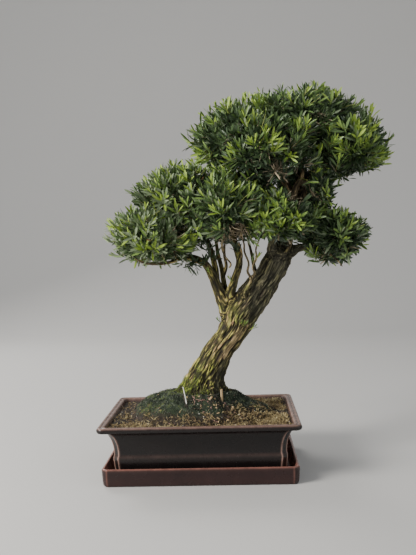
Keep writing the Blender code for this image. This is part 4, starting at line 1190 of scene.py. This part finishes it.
def corner_path(radius, crisp):
    """Offsets from the corner's centre along one corner, from round (0) to flat with two edges (1)."""
    side = radius * math.sqrt(2)
    near = np.array([0.0, 0.3, 0.6, 1.0, 1.5, 2.2]) * BEAD_WIDTH
    first = [-BEAD_LEAD * np.array([1, 0.7]), -near[:0:-1], near]
    last = [side - near[::-1], side + near[1:], side + BEAD_LEAD * np.array([0.7, 1])]
    places = np.concatenate(first + [[side / 2]] + last)
    along = np.clip(places, 0, side)
    beyond = np.maximum(places - side, 0)
    before = np.minimum(places, 0)
    flat = np.stack([radius - along / math.sqrt(2), along / math.sqrt(2)], 1)
    angle = along / side * math.pi / 2
    arc = radius * np.stack([np.cos(angle), np.sin(angle)], 1)
    path = crisp * flat + (1 - crisp) * arc + np.stack([-beyond, before], 1)
    bead = bell(places, BEAD_WIDTH) + bell(places - side, BEAD_WIDTH)
    path = path * (1 + crisp * BEAD_HEIGHT * bead / radius)[:, None]
    # The second value paints highlight lines down the two raised edges of a flat corner.
    return path, crisp * unit(bead)


def section(half_x, half_y, radius, crisp, z):
    """One level of a rectangular dish, anticlockwise, and how much edge colour each point gets, for worn
    glaze and painted highlights.
    """
    path, wear_and_highlight = corner_path(radius, crisp)
    points = []
    for quarter in range(4):
        turn = math.pi / 2 * quarter
        centre_x = (half_x - radius) * (1, -1, -1, 1)[quarter]
        centre_y = (half_y - radius) * (1, 1, -1, -1)[quarter]
        x = path[:, 0] * math.cos(turn) - path[:, 1] * math.sin(turn)
        y = path[:, 0] * math.sin(turn) + path[:, 1] * math.cos(turn)
        points.append(np.stack([centre_x + x, centre_y + y, np.full(len(path), z)], 1))
    return np.vstack(points), np.tile(wear_and_highlight, 4)


def smooth_profile(profile, steps=4):
    """The profile's rows with soft bends between them."""
    rows = np.array(profile, float)
    fine = [rows[0]]
    for a, b, c in zip(rows[:-2], rows[1:-1], rows[2:]):
        start = b + (a - b) * SOFT_BEND
        end = b + (c - b) * SOFT_BEND
        for share in np.linspace(0, 1, steps):
            fine.append(start * (1 - share) ** 2 + b * 2 * share * (1 - share) + end * share**2)
    fine.append(rows[-1])
    return np.array(fine)


def cut_drains(made, places):
    """Round holes through the floor at those places in X."""
    cutters = []
    for x in places:
        form = {"vertices": 48, "radius": DRAIN_RADIUS, "depth": 0.06, "location": (x, 0, 0.01)}
        bpy.ops.mesh.primitive_cylinder_add(**form)
        cutters.append(bpy.context.active_object)
        cut = made.modifiers.new("drain", "BOOLEAN")
        cut.operation = "DIFFERENCE"
        cut.object = cutters[-1]
    result = evaluated(made)
    made.modifiers.clear()
    made.data = result
    for cutter in cutters:
        bpy.data.objects.remove(cutter, do_unlink=True)


def dish(name, half_x, half_y, corner, profile, finish, slot, replaced, drains=()):
    """A rectangular dish from rows of inset, height, wear, which also paints highlights and light, and how
    flat its corners are.
    """
    rings, wear_and_highlight = [], []
    for inset, z, wear_and_light, crisp in smooth_profile(profile):
        ring, edge = section(half_x - inset, half_y - inset, max(corner - inset, INNER_CORNER), crisp, z)
        rings.append(ring)
        wear_and_highlight.append(unit(edge + wear_and_light))
    points, faces = capped(rings)
    mesh = bpy.data.meshes.new(name)
    mesh.from_pydata(points, [], faces)
    set_values(mesh, "edge", np.concatenate(wear_and_highlight))
    made = linked(name, mesh)
    if drains:
        cut_drains(made, drains)
    made.data.shade_smooth()
    made.data.set_sharp_from_angle(angle=math.radians(60))
    made.data.materials.clear()
    place_piece(made, [finish], slot, replaced)


def cove_profile(top):
    """The pot's hollow wall from the waist up, round at the top and with flat corners below."""
    rows = []
    whole = 1 - math.sqrt(1 - COVE_DEPTH**2)
    for share in np.linspace(0, 1, 14):
        flare = (1 - math.sqrt(1 - (COVE_DEPTH * share) ** 2)) / whole
        inset = WAIST_INSET + (BODY_INSET - WAIST_INSET) * flare
        rows.append((inset, WAIST_Z + (top - WAIST_Z) * share, 0, 1 - share**6))
    return rows


def rim_profile(under_rim):
    # The larger wear numbers along the lip's top paint its highlight lines as well as worn glaze.
    groove = 0.56 * RIM_BAND
    return [
        (0.45 * BODY_INSET, under_rim, 0, 0),
        (0.12 * BODY_INSET, under_rim + 0.12 * RIM_HEIGHT, 0.02, 0),
        (0.0, under_rim + 0.45 * RIM_HEIGHT, 0.0, 0),
        (0.03 * RIM_BAND, POT_TOP - 0.30 * RIM_HEIGHT, 0.04, 0),
        (0.10 * RIM_BAND, POT_TOP - 0.12 * RIM_HEIGHT, 0.40, 0),
        (0.24 * RIM_BAND, POT_TOP, 0.85, 0),
        (0.80 * groove, POT_TOP - GAP, 0.55, 0),
        (groove, POT_TOP - GAP - RIM_GROOVE, 0.30, 0),
        (1.20 * groove, POT_TOP - GAP, 0.55, 0),
        (0.88 * RIM_BAND, POT_TOP - GAP, 0.85, 0),
        (RIM_BAND, POT_TOP - 0.15 * RIM_HEIGHT, 0.6, 0),
        (RIM_BAND + 0.15 * RIM_HEIGHT, POT_TOP - 0.55 * RIM_HEIGHT, 0.2, 0),
    ]


def build_pot(finish):
    bottom = TRAY_FLOOR + GAP
    under_rim = POT_TOP - RIM_HEIGHT
    skirt = [
        (SKIRT_FOOT_INSET + FOOT_WIDTH + 0.5 * FOOT_RECESS, bottom + FOOT_RECESS, 0, 0),
        (SKIRT_FOOT_INSET + FOOT_WIDTH, bottom, 0, 0),
        (SKIRT_FOOT_INSET, bottom, 0, 1),
        (SKIRT_INSET + 0.0006, SKIRT_Z - 0.009, 0, 1),
        (SKIRT_INSET, SKIRT_Z - 0.0035, 0.03, 1),
        (SKIRT_INSET + 0.0004, SKIRT_Z - 0.0005, 0.12, 1),
        (WAIST_INSET, WAIST_Z - 0.0012, 0.05, 1),
    ]
    inside = [
        (BODY_INSET + POT_WALL, under_rim - POT_WALL, 0, 0),
        (WAIST_INSET + POT_WALL, WAIST_Z, 0, 0),
        (WAIST_INSET + POT_WALL + GAP, bottom + POT_FLOOR + FOOT_RECESS, 0, 0),
    ]
    profile = skirt + cove_profile(under_rim - GAP) + rim_profile(under_rim) + inside
    sizes = (POT_HALF_X, POT_HALF_Y, POT_CORNER)
    dish("pot_glazed", *sizes, profile, finish, "pot_glaze", ["pot"], (-DRAIN_X, DRAIN_X))


def build_tray(finish):
    inner = TRAY_WALL + TRAY_INNER_LEAN
    profile = [
        (TRAY_LEAN + TRAY_ROUND, 0.0, 0, 0),
        (TRAY_LEAN + 0.2 * TRAY_ROUND, 0.8 * TRAY_ROUND, 0.05, 0.3),
        (0.25 * TRAY_ROUND, TRAY_HEIGHT - 1.2 * TRAY_ROUND, 0.0, 0.4),
        (0.25 * TRAY_ROUND, TRAY_HEIGHT - 0.5 * TRAY_ROUND, 0.4, 0.4),
        # The rim's top edge: worn glaze with a painted highlight line.
        (TRAY_ROUND, TRAY_HEIGHT, 1.0, 0),
        # From here in, full edge colour paints light onto the inner wall and floor, which lie in the pot's
        # shade.
        (TRAY_WALL - 0.5 * TRAY_ROUND, TRAY_HEIGHT - 0.05 * TRAY_ROUND, 0.9, 0),
        (TRAY_WALL, TRAY_HEIGHT - TRAY_ROUND, 1.0, 0),
        (inner, TRAY_FLOOR + TRAY_ROUND, 1.0, 0),
        (inner + TRAY_ROUND, TRAY_FLOOR, 0.8, 0),
    ]
    sizes = (TRAY_HALF_X, TRAY_HALF_Y, TRAY_CORNER)
    dish("tray_glazed", *sizes, profile, finish, "tray_glaze", ["tray"])


# Soil, moss and what lies on them

GROUND_HALF_X = 0.1366
GROUND_HALF_Y = 0.0966
GROUND_STEP = 0.0015
CREST_SLANT = 0.38  # how the crest of the left slope runs from the left front to the trunk
HUSKS = 15000  # this many are tried, like the other counts here, and kept where they are wanted
HUSK_LENGTHS = (0.006, 0.013)
HUSK_WIDTHS = (0.0004, 0.0010)
HUSK_STEPS = 8
LOOPED_SHARE = 0.65  # of the husks
LOOP_BEND = (2.2, 4.6)  # radians
STRAIGHT_BEND = (0.3, 1.4)
MOSS_BLADES = 34000
BLADE_SIZE = (0.0024, 0.0009)  # length and width on the ground, and below on the bark
BARK_BLADE_SIZE = (0.0021, 0.0008)
CRUMBS = 11000
CRUMB_SIZES = (0.0007, 0.0017)
CRUMB_MIX = (0.04, 0.02, 0.01, 0.93)  # share of each colour
FLAKES = 4200
FLAKE_SIZES = (0.0010, 0.0029)
FLAKE_MIX = (0.38, 0.19, 0.03, 0.40)


def mound_edge(angle):
    """How far the mound reaches from the trunk in that direction."""
    edge = 1 / np.hypot(np.cos(angle) / MOUND_HALF_X, np.sin(angle) / MOUND_HALF_Y)
    return edge * (1 + MOUND_WAVES[0] * np.sin(3 * angle + 1.0) + MOUND_WAVES[1] * np.sin(7 * angle))


def mound_rise(flat):
    """Height of the mound above the soil, with its lumps of root and moss, from rows of x, y and 0."""
    x, y = flat[:, 0], flat[:, 1]
    foot_x, foot_y, _, foot_radius = np.array(AXIS[0]) / TENTHS
    away = np.hypot(x - foot_x, y - foot_y)
    angle = np.arctan2(y - foot_y, x - foot_x)
    seat = foot_radius * MOUND_SEAT + root_spread(angle) + MOUND_MARGIN
    share = unit((away - seat) / (mound_edge(angle) - seat))
    left = 0.5 - 0.5 * np.cos(angle)
    fall = MOUND_FALL[0] + (MOUND_FALL[1] - MOUND_FALL[0]) * left
    rise = (1 - share ** (1 + MOUND_BULGE * left)) ** fall
    sway = LUMP_SWAY[0] * np.sin(LUMP_SWAY[1] * y)
    lumps = MOUND_LUMPS * np.sin(LUMP_WAVE * x + sway) * np.sin(LUMP_WAVE * y + LUMP_TURN)
    lumps = lumps * np.minimum(LUMP_FADE * share * (1 - share), 1.0)
    edge = MOUND_EDGE * unit(12 * (1 - share))
    return edge + (GROUND_Z - SOIL_Z - MOUND_EDGE) * rise + lumps


def ground_height(flat):
    """Height of the soil's or the moss's surface, from rows of x, y and 0."""
    fine = 0.0007 * noise(flat, 0.012, 41) + 0.0006 * noise(flat, 0.0050, 42)
    fine += 0.0004 * noise(flat, 0.0022, 43)
    return SOIL_Z + 0.0010 + mound_rise(flat) + fine


def tongues(flat):
    """1 on the two crests along which the moss runs out to the left and the right, 0 away from them."""
    x, y = flat[:, 0], flat[:, 1]
    left = bell(y - CREST_SLANT * x, 0.026) * slope(-x, 0, 0.04)
    return left + bell(y, 0.022) * slope(x, 0, 0.04)


def moss_cover(flat):
    """0 on bare soil and 1 under moss, which covers the mound most at its back and its two ends."""
    lean = 0.25 * np.clip(flat[:, 1] / 0.05, -1, 1) + 0.9 * tongues(flat)
    patches = 0.7 * noise(flat, 0.013, 44) + 0.35 * noise(flat, 0.004, 45)
    return unit((mound_rise(flat) - 0.009) / 0.009 + lean + patches)


def build_ground(finish):
    xs = np.arange(-GROUND_HALF_X, GROUND_HALF_X + GROUND_STEP / 2, GROUND_STEP)
    ys = np.arange(-GROUND_HALF_Y, GROUND_HALF_Y + GROUND_STEP / 2, GROUND_STEP)
    grid_x, grid_y = np.meshgrid(xs, ys)
    flat = np.stack([grid_x.ravel(), grid_y.ravel(), np.zeros(grid_x.size)], 1)
    points = flat.copy()
    points[:, 2] = ground_height(flat)
    number = np.arange(len(flat)).reshape(len(ys), len(xs))
    faces = four_cornered(number[:, :-1], number[:, 1:])
    made = add_piece("ground", [(points, faces, 0)], [finish], "moss", ["moss_mound"])
    set_values(made.data, "moss", moss_cover(flat))


def scatter(count, chance, wanted):
    """Random places on the ground, kept where the function of them says."""
    flat = np.zeros((count, 3))
    flat[:, 0] = chance.uniform(-GROUND_HALF_X + 0.003, GROUND_HALF_X - 0.003, count)
    flat[:, 1] = chance.uniform(-GROUND_HALF_Y + 0.003, GROUND_HALF_Y - 0.003, count)
    places = flat[drawn(wanted(flat), count, chance)]
    places[:, 2] = ground_height(places)
    return places


def random_frames(count, chance, upright):
    """Three square directions each, the first tilted away from upright by a random amount."""
    first = normalised(np.array([0, 0, 1.0]) * upright + chance.normal(0, 1, (count, 3)))
    second = normalised(np.cross(first, chance.normal(0, 1, (count, 3))))
    return first, second, np.cross(first, second)


def husk_places(flat):
    """Husks lie at the foot of the mound, thickest along the front and on the right."""
    bare = unit(1.9 - mound_rise(flat) / 0.010 + 0.7 * noise(flat, 0.014, 62))
    ahead = np.clip(0.10 - flat[:, 1] / 0.05, 0.06, 1)
    right = np.clip(0.2 + flat[:, 0] / 0.12, 0.04, 1)
    clumps = np.clip(0.75 + 0.45 * noise(flat, 0.016, 61), 0.10, 1)
    return bare * np.maximum(ahead, 0.9 * right) * clumps * (1 - 0.9 * tongues(flat))


def build_husks(finishes, chance):
    """Curled strips of husk, most of them bent into loops, some straight."""
    places = scatter(HUSKS, chance, husk_places)
    count = len(places)
    axis, side, across = random_frames(count, chance, 0.5)
    looped = drawn(LOOPED_SHARE, count, chance)
    bend = np.where(looped, chance.uniform(*LOOP_BEND, count), chance.uniform(*STRAIGHT_BEND, count))
    radius = chance.uniform(*HUSK_LENGTHS, count) / bend
    width = chance.uniform(*HUSK_WIDTHS, count)
    rows = []
    for share in np.linspace(-0.5, 0.5, HUSK_STEPS):
        angle = (bend * share)[:, None]
        centre = places + radius[:, None] * (side * (np.cos(angle) - 1) + across * np.sin(angle))
        centre[:, 2] += 0.0007 + width / 2
        rows += [centre + axis * (hand * width)[:, None] for hand in (-0.5, 0.5)]
    points = np.stack(rows, axis=1).reshape(-1, 3)
    strip = np.array([(2 * i, 2 * i + 1, 2 * i + 3, 2 * i + 2) for i in range(HUSK_STEPS - 1)])
    tone = chance.uniform(0, 1, count) + 0.35 * noise(places, 0.016, 63)
    colours = np.array([1, 0, 2, 3])[np.digitize(tone, (0.22, 0.62, 0.88))]
    part = (points, copies(strip, count, 2 * HUSK_STEPS), np.repeat(colours, HUSK_STEPS - 1))
    add_piece("husks", [part], finishes["husks"], "soil")


def blades(places, ways, length, width, chance):
    """Thin upright triangles."""
    count = len(places)
    lean = normalised(ways + chance.normal(0, 0.45, (count, 3)))
    side = normalised(np.cross(lean, chance.normal(0, 1, (count, 3))))
    tall = chance.uniform(0.6, 1.3, count)[:, None] * length
    points = np.stack([places - side * width / 2, places + side * width / 2, places + lean * tall], 1)
    return points.reshape(-1, 3), np.arange(count * 3).reshape(-1, 3)


def near_crest(places):
    """1 along the crest of the left slope, where the moss is greener."""
    return bell(places[:, 1] - CREST_SLANT * places[:, 0], 0.018) * slope(-places[:, 0], 0, 0.03)


def build_moss(finishes, mossy, chance):
    """Short fuzz over the mound and the foot of the trunk."""
    places = scatter(MOSS_BLADES, chance, moss_cover)
    count = len(places)
    up = np.tile([0, 0, 1.0], (count, 1))
    ground = blades(places, up, *BLADE_SIZE, chance)
    tone = 0.7 + 4.0 * noise(places, 0.0060, 71) + 0.8 * noise(places, 0.016, 72)
    tone += chance.uniform(-0.8, 0.8, count)
    # The minus term makes the moss darker towards the right: painted shade on the side away from the key
    # light.
    tone += 1.2 * near_crest(places) - 0.9 * slope(places[:, 0], 0, 0.05)
    tone = np.where(drawn(0.17, count, chance), 2, np.clip(np.round(tone), 0, 3))
    bark = blades(*mossy, *BARK_BLADE_SIZE, chance)
    bark_tone = np.clip(np.round(3.2 + chance.uniform(-1.0, 1.0, len(mossy[0]))), 1, 4)
    add_piece("moss_fuzz", [(*ground, tone), (*bark, bark_tone)], finishes["moss"], "moss")


BIT_FACES = np.array(
    [(0, 2, 4), (2, 1, 4), (1, 3, 4), (3, 0, 4), (2, 0, 5), (1, 2, 5), (3, 1, 5), (0, 3, 5)]
)


def bits(places, sizes, chance):
    """Small flat crumbs of eight faces."""
    count = len(places)
    a, b, c = random_frames(count, chance, 1.5)
    b = b * (sizes[:, None] * chance.uniform(0.7, 1.3, (count, 1)))
    c = c * (sizes[:, None] * chance.uniform(0.4, 0.9, (count, 1)))
    a = a * (sizes[:, None] * chance.uniform(0.25, 0.6, (count, 1)))
    points = np.stack([places + b, places - b, places + c, places - c, places + a, places - a], axis=1)
    return points.reshape(-1, 3), copies(BIT_FACES, count, 6)


def near_foot(flat):
    """Bark flakes lie in front of the trunk's foot."""
    return 0.9 * np.exp(-(((flat[:, 0] - 0.02) / 0.040) ** 2) - ((flat[:, 1] + 0.060) / 0.020) ** 2)


def build_bits(finishes, chance):
    """Crumbs of soil, flakes of bark and a few pale grains."""
    crumbs = scatter(CRUMBS, chance, lambda flat: 0.15 + 0.7 * (1 - moss_cover(flat)))
    crumb_form = bits(crumbs, chance.uniform(*CRUMB_SIZES, len(crumbs)), chance)
    crumb_tones = chance.choice(4, len(crumbs), p=CRUMB_MIX)
    flakes = scatter(FLAKES, chance, near_foot)
    flakes[:, 2] += 0.0008
    flake_form = bits(flakes, chance.uniform(*FLAKE_SIZES, len(flakes)), chance)
    flake_tones = chance.choice(4, len(flakes), p=FLAKE_MIX)
    forms = ((crumb_form, crumb_tones), (flake_form, flake_tones))
    parts = [(*form, np.repeat(tones, len(BIT_FACES))) for form, tones in forms]
    made = add_piece("crumbs", parts, finishes["bits"], "soil")
    made.data.shade_flat()


# Thin surface roots at the foot of the trunk, in tenths of a millimetre: x and y of the start, the middle
# and the end, how far the middle stands off the ground, the radius and the colour number
ROOTLETS = (
    ((-120, -380), (-60, -500), (-80, -600), 15, 7, 1),
    ((-60, -500), (40, -540), (120, -500), 22, 6, 1),
    ((20, -420), (60, -540), (-20, -640), 15, 5, 3),
    ((120, -440), (200, -560), (180, -680), 12, 5, 3),
    ((-270, -320), (-240, -520), (-140, -760), 12, 9, 3),
    ((200, -400), (360, -460), (520, -560), 10, 8, 3),
    ((400, 60), (600, 100), (840, 40), 10, 11, 3),
    ((-360, 120), (-600, 220), (-820, 200), 10, 10, 3),
    ((40, 360), (100, 520), (20, 680), 15, 9, 0),
)
STUBS = (  # x and y of the foot, the lean in x and y, the height, the radius and the colour number
    (330, -370, 0, 0, 180, 24, 0),
    (140, -500, 50, -20, 40, 19, 0),
    (470, -520, 40, 20, 50, 18, 0),
    (-180, -640, -80, 270, 260, 9, 2),
)


def rootlet(start, middle, end, rise, radius, chance):
    """A thin root that follows the ground and rises off it in its middle."""
    knots = np.array([(*start, 0), (*middle, 0), (*end, 0)]) / TENTHS
    rise, radius = rise / TENTHS, radius / TENTHS
    path = curve(knots[:1], knots[1:2], knots[2:], 16)
    path[0, 1:-1] += chance.normal(0, 0.0005, path[0, 1:-1].shape)
    share = np.linspace(0, 1, 16)
    path[0, :, 2] += ground_height(path[0]) + rise * np.sin(math.pi * share) + 0.0010 * (1 - 2 * share)
    return tubes(path, (radius, radius * 0.6), 6)


def stub(form):
    """A short round stick with a closed top."""
    x, y, lean_x, lean_y, height, radius = np.array(form) / TENTHS
    foot = np.array([[x, y, 0.0]])
    foot[:, 2] = ground_height(foot) - 0.003
    top = foot + (lean_x, lean_y, height + 0.003)
    path = curve(foot, (foot + top) / 2 + 0.0006, top, 6)
    points, faces = tubes(path, (radius, radius * 0.85), 8)
    cap = np.arange(len(points) - 8, len(points))
    points = np.vstack([points, path[0, -1:] + (0, 0, 0.0004)])
    lid = [(cap[i], cap[(i + 1) % 8], len(points) - 1, len(points) - 1) for i in range(8)]
    return points, np.vstack([faces, lid])


def build_rootlets(finishes, chance):
    parts = [(*rootlet(*form, chance), colour) for *form, colour in ROOTLETS]
    parts += [(*stub(form), colour) for *form, colour in STUBS]
    add_piece("rootlets", parts, finishes["bits"], "bark")


def main():
    finishes = {name: plains(table) for name, table in COLOURS.items()}
    lines = [Line(AXIS)] + [Line(stations) for _, stations in BOUGHS.values()]
    side_lines = [Line(stations) for stations in SIDE_BRANCHES]
    skin, out, mossy = build_wood(lines + side_lines, bark_material(), np.random.default_rng(SEED))
    build_crown(lines, Limbs(lines), finishes)
    build_sprouts(finishes, skin, np.random.default_rng(SPROUT_SEED))
    build_pot(glaze("pot_glaze", *POT_GLAZE))
    build_tray(glaze("tray_glaze", *TRAY_GLAZE))
    build_ground(ground_material())
    chance = np.random.default_rng(GROUND_SEED)
    build_husks(finishes, chance)
    build_moss(finishes, (skin[mossy], out[mossy]), chance)
    build_bits(finishes, chance)
    build_rootlets(finishes, chance)


# Floor, light and camera

def backdrop():
    """A pale floor that bends up into a wall, so that no horizon shows."""
    profile = [(-4.0, 0.0), (1.6, 0.0)]
    for step in range(1, 17):
        angle = math.pi / 2 * step / 16
        profile.append((1.6 + 1.4 * math.sin(angle), 1.4 - 1.4 * math.cos(angle)))
    profile.append((3.0, 5.0))
    points = [(x, y, z) for y, z in profile for x in (-6.0, 6.0)]
    faces = [(2 * i, 2 * i + 1, 2 * i + 3, 2 * i + 2) for i in range(len(profile) - 1)]
    sheet = bpy.data.meshes.new("backdrop")
    sheet.from_pydata(points, [], faces)
    sheet.shade_smooth()
    sheet.materials.append(plain("backdrop", (0.62, 0.61, 0.59), 0.8))
    linked("backdrop", sheet)


AIM = (0.05, 0, 0.32)
LIGHTS = (  # name, place, size, power and colour
    ("key", (-1.6, -0.95, 1.1), 0.8, 60, (1.0, 0.97, 0.92)),
    ("back", (-1.1, 1.4, 1.3), 0.9, 18, (1.0, 0.98, 0.95)),
    ("fill", (1.8, -1.2, 0.9), 1.6, 6, (0.92, 0.96, 1.0)),
)


def stage_and_light():
    backdrop()
    world = bpy.data.worlds.new("studio")
    world.use_nodes = True
    sky = world.node_tree.nodes["Background"].inputs
    sky["Color"].default_value = (0.80, 0.82, 0.85, 1)
    sky["Strength"].default_value = 0.56
    bpy.context.scene.world = world
    for name, place, size, power, colour in LIGHTS:
        lamp = bpy.data.lights.new(name, "AREA")
        lamp.size = size
        lamp.energy = power
        lamp.color = colour
        made = linked(name, lamp)
        made.location = place
        made.rotation_euler = (Vector(AIM) - Vector(place)).to_track_quat("-Z", "Y").to_euler()


CAMERA_PLACE = (0.0617, -1.0975, 0.3454)
CAMERA_YAW = -0.04144
CAMERA_PITCH = 0.04133
CAMERA_ROLL = -0.03052
CAMERA_LENS = 45.07


def camera():
    seen = bpy.data.cameras.new("view")
    seen.sensor_width = 36
    seen.lens = CAMERA_LENS
    level = math.cos(CAMERA_PITCH)
    ahead = Vector((math.sin(CAMERA_YAW) * level, math.cos(CAMERA_YAW) * level, -math.sin(CAMERA_PITCH)))
    right = Vector((math.cos(CAMERA_YAW), -math.sin(CAMERA_YAW), 0))
    up = right.cross(ahead)
    rolled_right = right * math.cos(CAMERA_ROLL) + up * math.sin(CAMERA_ROLL)
    rolled_up = up * math.cos(CAMERA_ROLL) - right * math.sin(CAMERA_ROLL)
    turn = Matrix((rolled_right, rolled_up, -ahead)).transposed().to_4x4()
    made = linked("view", seen)
    made.matrix_world = Matrix.Translation(CAMERA_PLACE) @ turn
    bpy.context.scene.camera = made


camera()
stage_and_light()
main()
